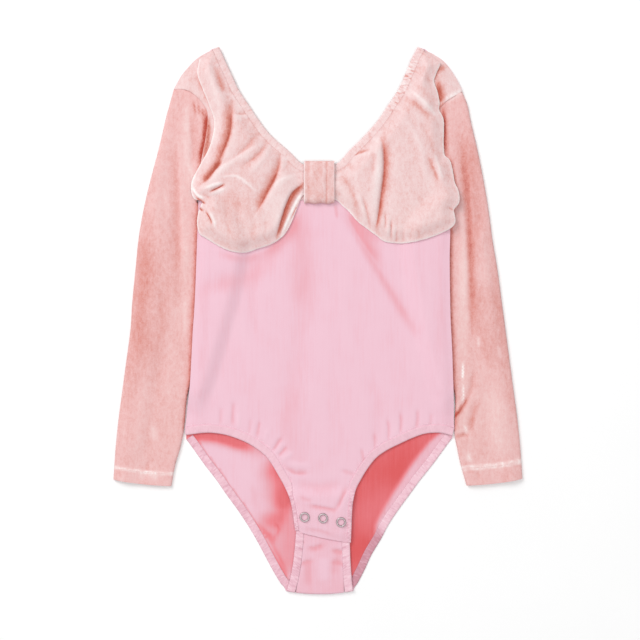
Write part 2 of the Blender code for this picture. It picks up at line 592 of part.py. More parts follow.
def make_band(velvet):
    """The band round the middle of the bow, hooked over the neck edge."""
    profile = np.array(BAND_PROFILE)
    columns = np.linspace(BAND_LEFT, BAND_RIGHT, BAND_COLUMNS)
    low, high = profile[:, 1].min(), profile[:, 1].max()

    def place(column, row):
        y, z = profile[row]
        crown = BAND_CROWN * (1.0 - ((columns[column] - BAND_MIDDLE) / BAND_HALF) ** 2)
        return columns[column], y, z + crown * smoothstep((z - low) / (high - low))

    piece = grid("bow_band", len(columns), len(profile), place, velvet)
    highest = max(piece.data.polygons, key=lambda face: face.center.z)
    thicken(piece, BAND_WALL if highest.normal.z > 0.0 else -BAND_WALL)


def make_snaps(metal):
    """Three ring caps on the flap, each with its stud between flap and extension."""
    for number, centre in enumerate(SNAPS, start=1):
        rim = front_height(np.array([(centre[0] + SNAP_STUD_RADIUS * cos(turn),
                                      centre[1] + SNAP_STUD_RADIUS * sin(turn))
                                     for turn in np.linspace(0.0, 2 * pi, SNAP_RIM_STATIONS)]))
        ring_z = rim.max() + JERSEY + SEAM_GAP + SNAP_RING_TUBE
        bpy.ops.mesh.primitive_torus_add(
            major_segments=SNAP_RING_SIDES, minor_segments=SNAP_TUBE_SIDES,
            major_radius=SNAP_RING_RADIUS * MM, minor_radius=SNAP_RING_TUBE * MM,
            location=(centre[0] * MM, centre[1] * MM, ring_z * MM))
        adopt(bpy.context.object, f"snap_ring_{number}", metal)
        stud_low = EXTENSION_TOP + SEAM_GAP
        stud_high = rim.min() - SEAM_GAP
        bpy.ops.mesh.primitive_cylinder_add(
            vertices=SNAP_STUD_SIDES, radius=SNAP_STUD_RADIUS * MM, depth=(stud_high - stud_low) * MM,
            location=(centre[0] * MM, centre[1] * MM, (stud_low + stud_high) / 2 * MM))
        adopt(bpy.context.object, f"snap_stud_{number}", metal)


def adopt(piece, name, material):
    """Name a primitive, give it its material and move it to the garment's collection."""
    piece.name = name
    piece.data.name = name
    piece.data.materials.append(material)
    piece.data.shade_smooth()
    for collection in list(piece.users_collection):
        collection.objects.unlink(piece)
    bpy.data.collections[COLLECTION].objects.link(piece)


def make_material(name, colour, roughness, metallic=0.0):
    material = bpy.data.materials.new(name)
    material.use_nodes = True
    surface = material.node_tree.nodes["Principled BSDF"]
    surface.inputs["Base Color"].default_value = (*colour, 1.0)
    surface.inputs["Roughness"].default_value = roughness
    surface.inputs["Metallic"].default_value = metallic
    return material


def main():
    for existing in list(bpy.data.objects):
        bpy.data.objects.remove(existing, do_unlink=True)
    bpy.context.scene.collection.children.link(bpy.data.collections.new(COLLECTION))
    jersey = make_material("pink_jersey", (0.87, 0.53, 0.62), 0.85)
    sleeve_velvet = make_material("salmon_velvet", (0.83, 0.44, 0.40), 0.8)
    bow_velvet = make_material("peach_velvet", (0.88, 0.62, 0.59), 0.8)
    binding = make_material("elastic_binding", (0.80, 0.52, 0.58), 0.8)
    metal = make_material("snap_metal", (0.75, 0.74, 0.73), 0.3, 1.0)
    make_back(jersey, binding)
    make_front(jersey)
    make_yoke(bow_velvet)
    make_front_bindings(bow_velvet, binding)
    for side in ("left", "right"):
        make_sleeve(side, sleeve_velvet)
    make_lobes(bow_velvet)
    make_band(bow_velvet)
    make_snaps(metal)


main()
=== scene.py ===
# A long-sleeved child's leotard with a velvet bow front, laid flat on a pale floor.
# Lengths in the tables are millimetres: x to the right as seen from above, y towards the
# shoulders, z up from the floor. The meshes are written in metres.
from collections import namedtuple
from math import pi, tau

import bmesh
import bpy
import numpy as np
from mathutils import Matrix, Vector
from mathutils.geometry import delaunay_2d_cdt
from mathutils.kdtree import KDTree


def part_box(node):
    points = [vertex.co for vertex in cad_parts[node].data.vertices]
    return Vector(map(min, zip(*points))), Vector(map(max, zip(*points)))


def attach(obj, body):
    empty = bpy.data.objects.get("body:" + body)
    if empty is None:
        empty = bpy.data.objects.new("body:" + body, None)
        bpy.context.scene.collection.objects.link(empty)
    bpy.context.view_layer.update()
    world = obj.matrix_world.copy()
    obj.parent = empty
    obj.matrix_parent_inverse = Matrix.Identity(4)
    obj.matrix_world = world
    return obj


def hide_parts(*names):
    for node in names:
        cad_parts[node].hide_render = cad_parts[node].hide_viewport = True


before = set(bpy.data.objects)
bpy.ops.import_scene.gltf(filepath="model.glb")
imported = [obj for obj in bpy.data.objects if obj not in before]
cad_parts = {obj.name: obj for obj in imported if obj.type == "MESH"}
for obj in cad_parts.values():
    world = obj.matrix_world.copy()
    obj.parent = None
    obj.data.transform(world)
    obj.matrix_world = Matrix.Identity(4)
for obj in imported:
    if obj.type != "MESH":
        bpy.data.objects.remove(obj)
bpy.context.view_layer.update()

MM = 0.001
SIDES = ("left", "right")
SIGNS = {"left": -1.0, "right": 1.0}

# Cloth thicknesses and the clearances between pieces
JERSEY = 1.1
VELVET = 1.3
BAND_WALL = 1.4
NECK_BINDING_THICK = 2.9
LEG_BINDING_THICK = 1.6
SEAM_GAP = 0.3
SEWN_GAP = 0.06
LOBE_GAP = 0.25
WELD = 0.01
RIM_ROUND = 0.28
RIM_ANGLE = 55             # degrees from which an edge of the cloth is rounded

# Widths of the bound edges
NECK_BINDING_WIDTH = 7.5
LEG_BINDING_WIDTH = 8.0
FLAP_BINDING_WIDTH = 3.8

# Heights of the layers, as in the solids
FRONT_LIFT = 3.3
SEAM_LIFT = JERSEY + 0.45
NECK_LIFT = 2.2
LEG_LIFT = 2.0
SEAM_SLOPE = 11.0
SLEEVE_THICK = 4.0
SLEEVE_CROWN = 1.4
SLEEVE_LIFT = SLEEVE_THICK + 0.6
SLEEVE_EDGE_RADIUS = 3.0
SLEEVE_DEEPEST = -1.5
SLEEVE_HIGHEST = 1.1
CREASE_START = 12.0
CROWN_START = 30.0
CROWN_SLOPE = 18.0
LIFT_REACH = 25.0
LIFT_SLOPE = 17.0
LIFT_TOP_Y = 148.0
LIFT_END_Y = -98.0
LIFT_FADE = 30.0
LOBE_PUFF = 4.4
LOBE_PINCH = 2.0
LOBE_SLOPE = 14.0
LOBE_SPREAD = 26.0
LOBE_EDGE = 0.6
LOBE_EDGE_RADIUS = 2.2
FOLD_RADIUS = 1.9
FOLD_Y = -272.5
FOLD_MIDDLE_X = 1.5
FOLD_HALF_WIDTH = 34.0
FOLD_END_RISE = 3.0
FOLD_GAP = 0.9
FOLD_GAP_REACH = 8.0
FOLD_CALM = 8.0            # creases die out this near the fold
EDGE_CALM = 9.0            # and this near the edge of the laid back
EXTENSION_TOP = 2 * FOLD_RADIUS
FLAP_RISE = 1.7
FLAP_START_Y = -165.0
FLAP_FULL_Y = -178.0
FLAP_DROP = 1.2            # the flap's free edge settles on the extension under it
FLAP_DROP_REACH = 8.0
YOKE_SEAM_Y = 120.5

# Nets of the cloth and steps along its edges
BODY_NET = 2.3
FRONT_NET = 1.65
YOKE_NET = 2.5
SLEEVE_NET = 1.9
LOBE_NET = 1.05
BAND_NET = 0.8
RIB_STEP = 0.6
EDGE_STEP = 4.0
LOBE_EDGE_STEP = 2.0
CREASE_STEP = 4.0
CURVE_PIECES = 12          # straight pieces of a smooth curve between two given points
NET_ROWS = 0.87            # rows of a net, closer than its columns, so its triangles are even
NET_EDGE_CLEAR = 0.62      # net points nearer than this share of the spacing to the outline go
NET_ROW_CLEAR = 0.6        # and nearer than this to a row of points
ROW_CLEAR = 0.2
CORNER_CLEAR = 1.5
LOBE_CORNER_CLEAR = 0.6
SLEEVE_EDGE_ROWS = (0.3, 0.9, 1.8, 3.0)
CROTCH_COLUMNS = np.linspace(-0.8, 0.9, 32)      # shares of the fold's half width
CROTCH_BENDS = np.linspace(-0.2, 1.2, 14)        # shares of the half turn

# Edges of the garment as it lies: x, y
NECKLINE = ((-99, 274), (-93, 260.5), (-86, 245.5), (-79, 230.5), (-69, 215.5), (-59, 200.5),
            (-47, 185.5), (-29, 169.5), (-22, 162.4), (-17, 157.9), (-11, 155.9), (1, 155.6),
            (14, 155.9), (20, 157.9), (25, 162.4), (31, 169.5), (47, 185.5), (60, 200.5),
            (70, 215.5), (80, 230.5), (87, 245.5), (93, 260.5), (100, 274))
BACK_NECKLINE = ((-99, 274), (-95, 258), (-90, 240), (-83, 222), (-73, 204), (-60, 187),
                 (-42, 168), (-22, 152), (1, 147), (24, 152), (44, 168), (62, 187),
                 (75, 204), (85, 222), (92, 240), (96, 258), (100, 274))
SHOULDER_LEFT = ((-111, 268.5), (-118, 264.5), (-124, 260), (-130, 253.5), (-137, 245),
                 (-144.5, 231.5))
SHOULDER_RIGHT = ((112, 268.5), (119, 264.5), (125, 260.5), (132, 252.5), (137, 245),
                  (142, 236), (144.5, 229.5))
ARMHOLE_LEFT = ((-144.5, 231.5), (-136, 231.5), (-128, 229), (-118, 220.5), (-111, 209.5),
                (-111, 195.5), (-113, 180.5), (-116, 165.5), (-118, 152.5), (-118, 142.5))
ARMHOLE_RIGHT = ((144.5, 229.5), (137, 225), (129, 220), (123, 214), (120.5, 205.5),
                 (120, 185.5), (122, 165.5), (127, 150), (131, 140.5))
SIDE_LEFT = ((-118, 142.5), (-119.5, 115.5), (-120.5, 85.5), (-123, 20.5), (-125, -9.5),
             (-126, -29.5), (-128, -64.5), (-131, -89.5), (-132.7, -107.5))
SIDE_RIGHT = ((131, 140.5), (132, 115.5), (132, 85.5), (131.5, 60.5), (132, 20.5), (132.5, 0.5),
              (134, -29.5), (135, -59.5), (136, -89.5), (136, -107))
FRONT_LEG_LEFT = ((-132.8, -114.6), (-127, -114.2), (-118, -112.9), (-108, -112.5), (-93, -114.5),
                  (-78, -119.5), (-66, -125.5), (-55, -133.5), (-48, -141.5), (-39, -156.5), (-33, -167.5),
                  (-28, -179.5), (-25, -194.5), (-23, -210.5))
FRONT_LEG_RIGHT = ((134.5, -115.5), (122, -112.5), (107, -113.5), (94, -118), (82, -123.5),
                   (69, -130), (58, -138), (49, -149.5), (43, -159.5), (38, -169.5),
                   (35, -182.5), (34, -196), (33.5, -209), (33, -222.5))
BACK_LEG_LEFT = ((-132, -119.5), (-126, -127.5), (-114, -144.5), (-102, -160), (-92, -174.5),
                 (-81, -189.5), (-71, -204.5), (-62, -219.5), (-54, -234.5), (-46, -249.5),
                 (-38, -263), (-33, -269.5))
BACK_LEG_RIGHT = ((134.5, -118), (126, -129.5), (115, -144.5), (103, -159.5), (92, -174.5),
                  (81, -189.5), (71, -204.5), (63, -219.5), (54, -234.5), (47, -249.5),
                  (40, -263), (36, -269.5))
EXTENSION_LEFT = ((-29, -262), (-27, -254.5), (-24.5, -239.5), (-23, -224.5), (-21.5, -204.5),
                  (-20, -182.5))
EXTENSION_RIGHT = ((34, -262), (33.5, -254.5), (32.5, -239.5), (32, -224.5), (31, -204.5),
                   (29.5, -182.5))
SLEEVE_INNER_LEFT = ((-118, 142.5), (-121, 130), (-120.5, 118), (-110, 105), (-96, 88),
                     (-92, 68), (-102, 20), (-122, -48), (-130.6, -74), (-133.4, -100),
                     (-135.2, -114.5), (-138.5, -129.5), (-143, -144.5), (-147, -166))
SLEEVE_INNER_RIGHT = ((131, 140.5), (134.5, 130), (133.5, 118), (123, 105), (109, 88),
                      (105, 68), (113, 20), (128, -48), (137, -74), (137, -100),
                      (137, -114.5), (139.8, -129.5), (143, -144.5), (149, -165.5))
SLEEVE_OUTER_LEFT = ((-144.5, 231.5), (-149, 215.5), (-153, 200.5), (-160, 170.5),
                     (-168, 140.5), (-175, 110.5), (-180, 80.5), (-183, 50.5), (-186, 20.5),
                     (-188, -9.5), (-192, -39.5), (-196, -69.5), (-200, -99.5), (-203, -129.5),
                     (-205, -159.5))
SLEEVE_OUTER_RIGHT = ((144.5, 229.5), (150, 215.5), (153, 200.5), (160, 170.5), (166, 140.5),
                      (171, 110.5), (175, 80.5), (180, 50.5), (184, 20.5), (188, -9.5),
                      (192, -39.5), (196, -69.5), (200, -99.5), (203, -129.5), (205, -158.5))
CUFF_LEFT = ((-205, -159.5), (-190, -162), (-170, -164.5), (-147, -166))
CUFF_RIGHT = ((205, -158.5), (190, -161.5), (170, -164), (149, -165.5))
FLAP_BOTTOM = ((-23, -210.5), (-8, -214.5), (12, -219), (33, -222.5))
LOBE_LEFT = ((-0.5, 122.5), (-8, 123.5), (-15, 125.5), (-20, 115.5), (-25, 102.5),
             (-31, 90.5), (-38, 82.5), (-48, 76.5), (-60, 72.5), (-73, 68.5), (-86, 69.5),
             (-98, 74.5), (-111, 82.5), (-118, 87.5), (-120, 98.5), (-118, 110.5),
             (-115, 118.5), (-123, 121.5), (-126, 130.5), (-125, 140.5), (-118, 154.5),
             (-110, 168.5), (-105, 182.5), (-103, 199.5), (-109, 217.5), (-115, 232.5),
             (-120, 247), (-118, 260.5))
LOBE_RIGHT = ((0.8, 121.5), (9, 121.5), (18, 120.5), (25, 114.5), (32, 108.5), (40, 99.5),
              (49, 92.5), (57, 86.5), (65, 80.5), (72, 78.5), (82, 77.5), (92, 78.5),
              (102, 80.5), (112, 83.5), (122, 87.5), (132, 92.5), (136.5, 99), (135, 110.5),
              (140, 117.5), (140, 127.5), (136, 138.5), (134, 150.5), (131, 160.5),
              (126, 165.5), (125, 180.5), (125, 200.5), (120.5, 210.5), (121, 217.5),
              (119, 228.5), (115.5, 238.5), (117, 245.5), (122, 257))
BAND_PROFILE = ((158.2, 2.2), (158.3, 4.6), (157.3, 6.2), (154, 7.3), (148, 8.4), (139, 9.0),
                (129, 9.0), (122, 8.6), (118.9, 7.2), (118.3, 4.9))
BAND_LEFT = -14.0
BAND_RIGHT = 17.0
BAND_MIDDLE = (BAND_LEFT + BAND_RIGHT) / 2
BAND_HALF = (BAND_RIGHT - BAND_LEFT) / 2
BAND_CROWN = 0.8

# Creases: start, middle and end in plan, height (a trough is minus), and the half widths
# to the left and to the right of the way they run
Crease = namedtuple("Crease", "x0 y0 x1 y1 x2 y2 height left right")
BODY_CREASES = (
    (-13, 80, -14, 0, -33, -110, -0.7, 16, 13),
    (17, 115, 47, 72, 102, -20, -0.8, 12, 5),
    (22, 122, 33, 108, 42, 84, -0.5, 4, 7),
    (-31, 80, -73, 50, -118, 30, -0.8, 11, 11),
    (50, -50, 60, -90, 57, -130, -0.5, 9, 9),
    (-95, 20, -60, -40, -50, -95, 0.7, 14, 14),
    (85, 50, 98, -10, 96, -80, 0.6, 15, 15),
    (-112, 60, -114, 0, -118, -70, -0.5, 7, 9),
    (120, 90, 122, 30, 124, -40, -0.5, 8, 7),
    (-60, 66, -66, 20, -62, -30, -0.4, 7, 9),
    (30, 60, 26, 10, 34, -40, 0.4, 9, 9),
    (-5, -60, 4, -110, 0, -145, 0.4, 10, 10),
    # gathers that run in from the left leg edge, then from the right one
    (-84.5, -80, -85.5, -93, -86, -106, -0.7, 3.0, 1.8),
    (-97, -86, -97.5, -96, -98, -106, -0.45, 2.5, 1.8),
    (-79, -92, -79.5, -100, -79, -108, 0.4, 2, 2),
    (-58, -100, -59.5, -108, -61, -117, -0.7, 1.7, 2.6),
    (-67, -98, -68, -107, -69, -115, -0.4, 2, 2.4),
    (-50, -108, -52, -114, -54, -122, 0.4, 2.4, 2),
    (-36, -117, -40.5, -124, -45, -131, -0.9, 1.8, 2.6),
    (-31, -126, -35, -131, -40, -136, -0.8, 1.8, 2.4),
    (-26, -132, -31, -136, -36, -139, 0.5, 2, 2),
    (-10, -153, -23, -153, -33, -147, -0.8, 1.8, 3.6),
    (-8, -145, -18, -145, -29, -143, 0.4, 3, 3),
    (69, -98, 70.5, -108, 70, -122, -0.8, 2.6, 1.7),
    (82, -92, 83, -101, 82, -114, -0.8, 2.6, 1.8),
    (99, -88, 99.5, -98, 98, -110, -0.7, 2.4, 1.8),
    (113, -92, 113, -100, 112, -109, -0.4, 2.2, 2),
    (56, -112, 57, -120, 57, -131, -0.6, 2.4, 2),
    (43, -128, 45, -136, 46, -144, -0.6, 2.2, 2),
    (22, -150, 30, -152, 38, -156, -0.5, 2.6, 2.6),
)
FLAP_CREASES = (
    (-9, -184.5, 6, -187, 19, -189.5, -0.85, 1.6, 3.4),
    (18, -190, 23, -181, 29, -168, -0.9, 3.2, 1.4),
    (-26, -160, 2, -167, 26, -160, -0.4, 6, 6),
    (-12, -208, 2, -210, 14, -214, -0.4, 1.8, 2.5),
    (-18, -176, -12, -179, -6, -180, -0.35, 1.8, 2.2),
)
EXTENSION_CREASES = (
    (-10, -228, -2, -227, 5, -224, -0.7, 1.4, 3.4),
    (14, -229.5, 22, -231, 30, -230, -0.8, 1.4, 3.2),
    (-8, -238, -9, -252, -9, -268, -0.4, 3, 6),
    (24, -234, 18, -242, 15, -256, -0.3, 6, 3.6),
    (-20, -244, -13, -242, -5, -240, -0.5, 1.4, 2.6),
    (28, -246, 20, -243, 12, -243, -0.4, 1.6, 2.6),
    (8, -236, 6, -250, 8, -262, 0.4, 7, 7),
)
LOBE_CREASES = (
    # the roll down the outer side of the left lobe and the trough beside it
    (-110, 250, -97.5, 202, -112, 158, 1.0, 7, 7),
    (-107, 259, -101, 245, -96, 228, -0.9, 4, 3),
    (-86, 222, -87, 190, -101, 153, -2.7, 2.2, 9),
    (-95, 160, -104, 148.5, -114, 136, -3.0, 2.2, 6),
    (-117, 132, -98, 150, -56, 177, 0.8, 2.0, 6),
    # gathers that fall from the neck edge
    (-97, 224, -88, 226, -71, 207, 0.9, 1.6, 2.6),
    (-84, 207, -76, 206, -69, 208, -0.8, 1.2, 1.2),
    (-84, 203, -77, 204, -68, 204, 0.7, 1.2, 3),
    (-59, 190, -68, 177, -82, 162, -1.0, 3, 3),
    (-52, 178, -59, 166, -75, 154, -1.2, 3, 2.4),
    (-48, 175, -56, 160, -68, 147, 0.8, 3, 4),
    (-38, 169, -41, 146, -60, 110, -3.2, 2.2, 7),
    (-16, 146, -38, 139, -58, 117, 0.7, 6, 2.0),
    (-27, 161, -32, 153, -37, 146, -0.9, 3, 3),
    # the fold beside the band: a dark rim, a shaded strip and the light rim beyond it
    (-14, 137, -29, 123, -42, 84, -3.2, 5, 1.2),
    (-14, 131, -24.5, 113.5, -37, 85, 1.6, 1.3, 1.2),
    # the pinch at the outer end, where the folds meet
    (-107, 128.5, -100, 132, -94, 135.5, -2.2, 1.3, 1.4),
    (-113, 131, -105, 134.8, -95, 137.6, 0.8, 1.3, 1.3),
    (-107, 126, -99, 129, -92, 132, 0.7, 1.5, 2),
    (-121, 121.6, -117, 119.4, -113, 116.6, -2.4, 1.0, 1.2),
    (-121, 115.5, -117.7, 112.4, -115.5, 109, -2.4, 1.0, 1.2),
    (-125, 133, -120, 125, -113, 122.5, 0.8, 1.2, 1.2),
    (-123, 127, -119.5, 122.5, -113, 119.8, -1.2, 1.0, 1.0),
    (-116, 128, -111, 124, -104, 121, -0.6, 1.6, 1.6),
    (-111, 108, -107, 101, -105.5, 96, -1.0, 1.8, 1.0),
    (-108, 108.5, -103.6, 100, -102.5, 93, 0.7, 1.3, 1.3),
    # fine crinkles and soft hollows of the lower part
    (-96, 143, -80, 143.5, -62, 129, 0.5, 1.0, 1.4),
    (-80, 143.5, -74, 138, -66, 136, 0.4, 0.9, 0.9),
    (-92, 114, -90, 96, -87, 84, -0.5, 3, 3),
    (-78, 120, -79, 108, -80, 96, -0.4, 3, 4),
    (-63, 104, -64, 92, -66, 78, -0.5, 3, 4),
    (-52, 104, -52, 92, -54, 80, -0.4, 3, 3),
    # the right lobe: two troughs from the neck edge and the tuck between them
    (63.5, 186, 65.5, 150, 58, 91, -3.1, 7, 2.0),
    (57, 180, 59, 154, 54, 118, 0.7, 3.4, 5),
    (31, 164.4, 43, 167.4, 52, 170.4, -0.9, 1.1, 1.6),
    (52, 177, 53.4, 170, 50, 163.5, 0.7, 1.2, 1.2),
    (54, 168, 55.5, 160, 54, 146, -0.8, 3.0, 3.0),
    (23, 147, 35, 126, 41, 101, -1.7, 4, 4),
    (39, 129, 45, 112, 49, 95, 0.7, 3, 3),
    (44.5, 123, 49, 108, 53, 91, -1.5, 2.4, 2.4),
    # gathers at its lower edge
    (67, 108, 67.6, 99, 67, 90, -1.2, 1.5, 1.3),
    (70, 102, 70, 93, 70, 82, 0.6, 1.5, 1.5),
    (73, 101, 73, 92, 73, 80, -1.4, 1.6, 1.4),
    (75.8, 99, 75.8, 90, 75.4, 80, 0.6, 1.4, 1.4),
    (78.6, 90, 78.6, 84, 78, 77, -1.0, 1.4, 1.2),
    (85, 93, 85.4, 86, 85, 78, -0.9, 1.4, 1.3),
    (93, 94, 92.8, 87, 92.4, 79, -0.7, 1.6, 1.4),
    (101, 96, 100.4, 90, 99.6, 81, -0.5, 1.7, 1.6),
    # slanting folds from the neck edge to the outer edge
    (89, 233, 105, 218, 121.5, 200, 0.7, 2.2, 2.6),
    (92, 222, 102, 212, 115, 202, -0.8, 2.6, 4.5),
    (97, 236, 108, 226, 118, 214, -0.6, 3, 3),
    (89, 216, 94, 199, 101, 186, -0.7, 3, 4),
    (86, 204, 101, 177, 109, 137, 0.9, 4, 5),
    (102, 198, 112, 180, 116, 163, -0.9, 4, 4),
    (114.5, 168, 119.7, 154.5, 123.5, 139, 0.6, 1.8, 2.1),
    (110, 163, 116, 150.5, 120, 138, -0.8, 1.8, 3),
    (93, 128, 96, 110, 92, 94, 0.5, 7, 7),
    (129, 113, 134, 110.5, 139, 108.5, -1.5, 1.3, 1.3),
    (100, 255, 108, 246, 113, 232, -0.6, 3, 3),
)
SLEEVE_CREASES = (
    (-143, 178, -141, 95, -140, 20, -1.3, 5, 8),
    (-133, 200, -134, 140, -130, 60, 0.9, 6, 5),
    (-158, 130, -163, 60, -168, -20, 0.9, 9, 9),
    (-150, 40, -158, -10, -160, -80, -0.6, 8, 8),
    (-172, -60, -175, -100, -178, -140, 0.6, 9, 9),
    (-128, 206, -125, 180, -128, 150, -1.1, 5, 5),
    (-168, -139, -172, -148, -172, -160, -0.5, 3, 3),
    (143, 186, 151, 90, 154, -12, -1.5, 4, 8),
    (137, 150, 145, 80, 146, -60, 1.0, 5, 5),
    (160, 140, 168, 40, 174, -40, 0.8, 9, 9),
    (136, -98, 143, -88, 149, -78, -1.5, 1.7, 2.6),
    (149, -78, 154, -66, 156, -50, -0.8, 3, 3),
    (138, -117, 146, -114, 151, -116, -1.2, 2.2, 2.2),
    (152, -112, 154, -96, 158, -80, -0.7, 3, 3),
    (144, -134, 150, -128, 155, -118, 0.7, 4, 4),
    (163, -84, 172, -104, 178, -136, 0.6, 10, 10),
    (147, -142, 150, -148, 156, -152, -0.6, 3, 3),
    (160, -150, 160, -156, 161, -163, -0.6, 2, 2),
)
# Painted shade and highlight, the strength in place of a height: deep shade minus, worn pile and highlight
# plus
SLEEVE_SHADES = (
    (-111.5, 210, -112.5, 188, -118.5, 153, -1.5, 1.6, 3.2),
    (-125, 219, -123.5, 213, -122.5, 206, -0.6, 1.1, 1.1),
    (-120, 216, -119.5, 211, -119, 206, -0.7, 1.1, 1.1),
    (-116, 212, -115.5, 208, -115, 204, -0.7, 1.1, 1.1),
    (124.5, 216, 126.5, 198, 127.5, 166, -1.0, 2.4, 2.4),
    (130, 168, 136, 142, 141, 112, -0.6, 3.4, 3),
    (129, 218, 136, 223, 147, 230, 0.5, 1.4, 1.4),
    (145, -42, 145, -51, 145, -60, 1.3, 1.0, 1.0),
    (145.5, -62, 145.5, -74, 145, -86, 0.8, 1.0, 1.0),
    (160, -16, 160.5, -21, 160.5, -26, 0.6, 1.2, 1.2),
    (181, -26, 181.5, -32, 182, -38, 0.4, 2.0, 2.0),
    (146.5, -104, 148, -109, 149, -114, 0.7, 1.2, 1.2),
    (150, -132, 151, -137, 152, -142, 0.5, 2.6, 2.6),
    (-134, 24, -133.5, 4, -133, -16, 0.3, 2.0, 2.0),
    (-165, -104, -164.5, -112, -164, -120, 0.35, 3.0, 3.0),
    (-132, 216, -131.5, 202, -131, 188, 0.4, 3.0, 3.0),
    (-131, 190, -127, 150, -124, 110, 0.28, 4, 6),
    (-181, -152, -169, -154, -156, -156, 0.4, 2.5, 4.5),
    (141, 60, 145, 10, 146, -44, 0.22, 4, 5),
    (150, 90, 155, 30, 156, -16, -0.18, 7, 3),
    (137, -97, 143, -88, 150, -76, -0.5, 1.2, 2.6),
    (153, -112, 156, -96, 162, -78, -0.3, 2, 2.5),
    (-170, 100, -178, 20, -190, -80, -0.2, 14, 10),
    (-162, 100, -168, 20, -176, -60, -0.22, 14, 14),
    (150, 190, 155, 110, 158, 60, -0.42, 10, 12),
    (138, 170, 146, 100, 148, 20, 0.3, 4, 4),
    (162, 50, 168, 0, 176, -50, -0.2, 12, 12),
    (174, -60, 182, -100, 186, -140, 0.2, 14, 14),
    (176, 60, 188, -30, 198, -120, -0.15, 8, 8),
)
LOBE_SHADES = (
    (-90, 216, -88, 186, -101, 154, -0.55, 2.2, 8),
    (-97, 158, -106, 146, -115, 136, -0.9, 2.2, 4.5),
    (-41, 152, -45, 136, -60, 110, -0.6, 2.2, 7),
    (-14, 138, -28, 124, -42, 84, -1.1, 3.6, 1.0),
    (-15, 130.5, -24.5, 113.5, -37, 85, 0.9, 1.0, 0.9),
    (-15, 126.5, -20.5, 115.5, -28, 101, -0.9, 0.9, 0.9),
    (-107, 128.5, -100, 132, -94, 135.5, -1.5, 1.0, 1.2),
    (-113, 131, -105, 134.8, -95, 137.6, 0.6, 0.9, 0.9),
    (-107, 126, -99, 129, -92, 132, 0.35, 1.2, 1.6),
    (-121, 121.6, -117, 119.4, -112, 116.6, -1.6, 0.9, 1.0),
    (-121, 115.5, -117.7, 112.4, -114, 109, -1.6, 0.9, 1.0),
    (-125, 133, -120, 125, -113, 122.5, 0.9, 0.9, 0.9),
    (-124, 147, -125, 138, -122, 127, 0.3, 2.0, 2.0),
    (-111, 108, -107, 101, -105.5, 96, -0.8, 1.2, 0.8),
    (-108, 108.5, -103.6, 100, -102.5, 93, 0.6, 0.9, 0.9),
    (-96, 143, -80, 143.5, -62, 129, 0.4, 0.8, 0.8),
    (-110, 252, -99, 210, -112, 160, 0.15, 5, 5),
    (-117, 132, -98, 151.5, -56, 178, 0.2, 1.0, 3),
    (-16, 147, -38, 140, -58, 118, 0.15, 3, 1.0),
    (-36, 130, -44, 112, -52, 92, 0.15, 6, 6),
    (-82, 206, -72, 182, -64, 152, -0.12, 22, 18),
    (-100, 122, -84, 115, -64, 114, -0.22, 14, 18),
    (-101, 250, -99, 240, -94, 228, -0.35, 4, 4),
    (65.5, 182, 67, 152, 62, 118, -0.5, 6, 1.6),
    (63, 122, 60.5, 105, 58, 91, -0.7, 2.4, 1.0),
    (59, 180, 60, 152, 54, 116, 0.1, 2.6, 4),
    (56, 170, 56.5, 160, 55, 148, -0.15, 2.6, 2.6),
    (31, 164.5, 43, 168, 51, 171, -0.4, 1.6, 0.9),
    (28, 161, 42, 165, 52, 167.5, 0.25, 0.9, 1.4),
    (90, 232, 105.5, 218, 121.5, 200, 0.25, 1.0, 1.2),
    (92, 221, 103, 211, 115, 202, -0.22, 2.6, 5),
    (115, 168, 120, 154.5, 124, 139, 0.2, 1.0, 1.2),
    (110, 163, 116, 150.5, 120, 138, -0.28, 1.6, 3),
)
YOKE_SHADES = (
    (-110, 205, -110, 185, -114, 160, -0.9, 2.4, 2.4),
    (116, 240, 119, 249, 128, 254, -0.7, 4, 2.4),
    (119, 241, 122, 226, 125, 206, -1.0, 4.2, 3),
    (122.5, 213, 124, 207, 124.5, 200, -1.2, 1.8, 1.8),
    (-122, 246, -114, 232, -106, 214, -0.5, 3, 3),
    (-136, 232, -127, 227, -117, 216, -0.3, 3, 3),
)
BACK_SHADES = (
    (-140, -117, -106, -115.5, -62, -129, -1.1, 6, 6.5),
    (-47, -136, -34, -162, -34, -190, -0.8, 12, 15),
    (-34, -176, -38, -196, -60, -204, -0.45, 10, 10),
    (-62, -203, -52, -214, -44, -226, -0.4, 3, 2),
    (-46, -224, -37, -242, -29, -262, -0.3, 2.4, 2),
    (-44, -203, -39, -209, -43, -218, -0.25, 1.8, 1.8),
    (-52, -212, -46, -216, -41, -222, -0.2, 2.4, 2.4),
    (-24, -196, -28, -226, -28, -258, -0.42, 18, 20),
    (-66, -164, -64, -178, -62, -190, -0.1, 3, 4),
)
# Shade on the body under the bow and beside the sleeves
BODY_SHADES = (
    (-20, 110, -30, 88, -54, 66, -0.3, 7, 3),
    (-54, 68, -76, 62, -100, 68, -0.18, 5, 3),
    (30, 106, 44, 94, 64, 78, -0.2, 3, 5),
    (17, 117, 18, 110, 19, 102, -0.25, 1.6, 1.6),
    (31, 105, 42, 86, 62, 56, -0.28, 8, 1.6),
    (-14, 112, -18, 60, -16, 0, -0.14, 14, 12),
    (-40, 66, -64, 44, -110, 30, -0.12, 10, 8),
    (40, 84, 60, 50, 100, -14, -0.12, 3, 9),
    (-24, -60, -30, -110, -24, -140, -0.1, 14, 8),
    (4, -156, 5, -196, 4, -226, -0.05, 34, 34),
)
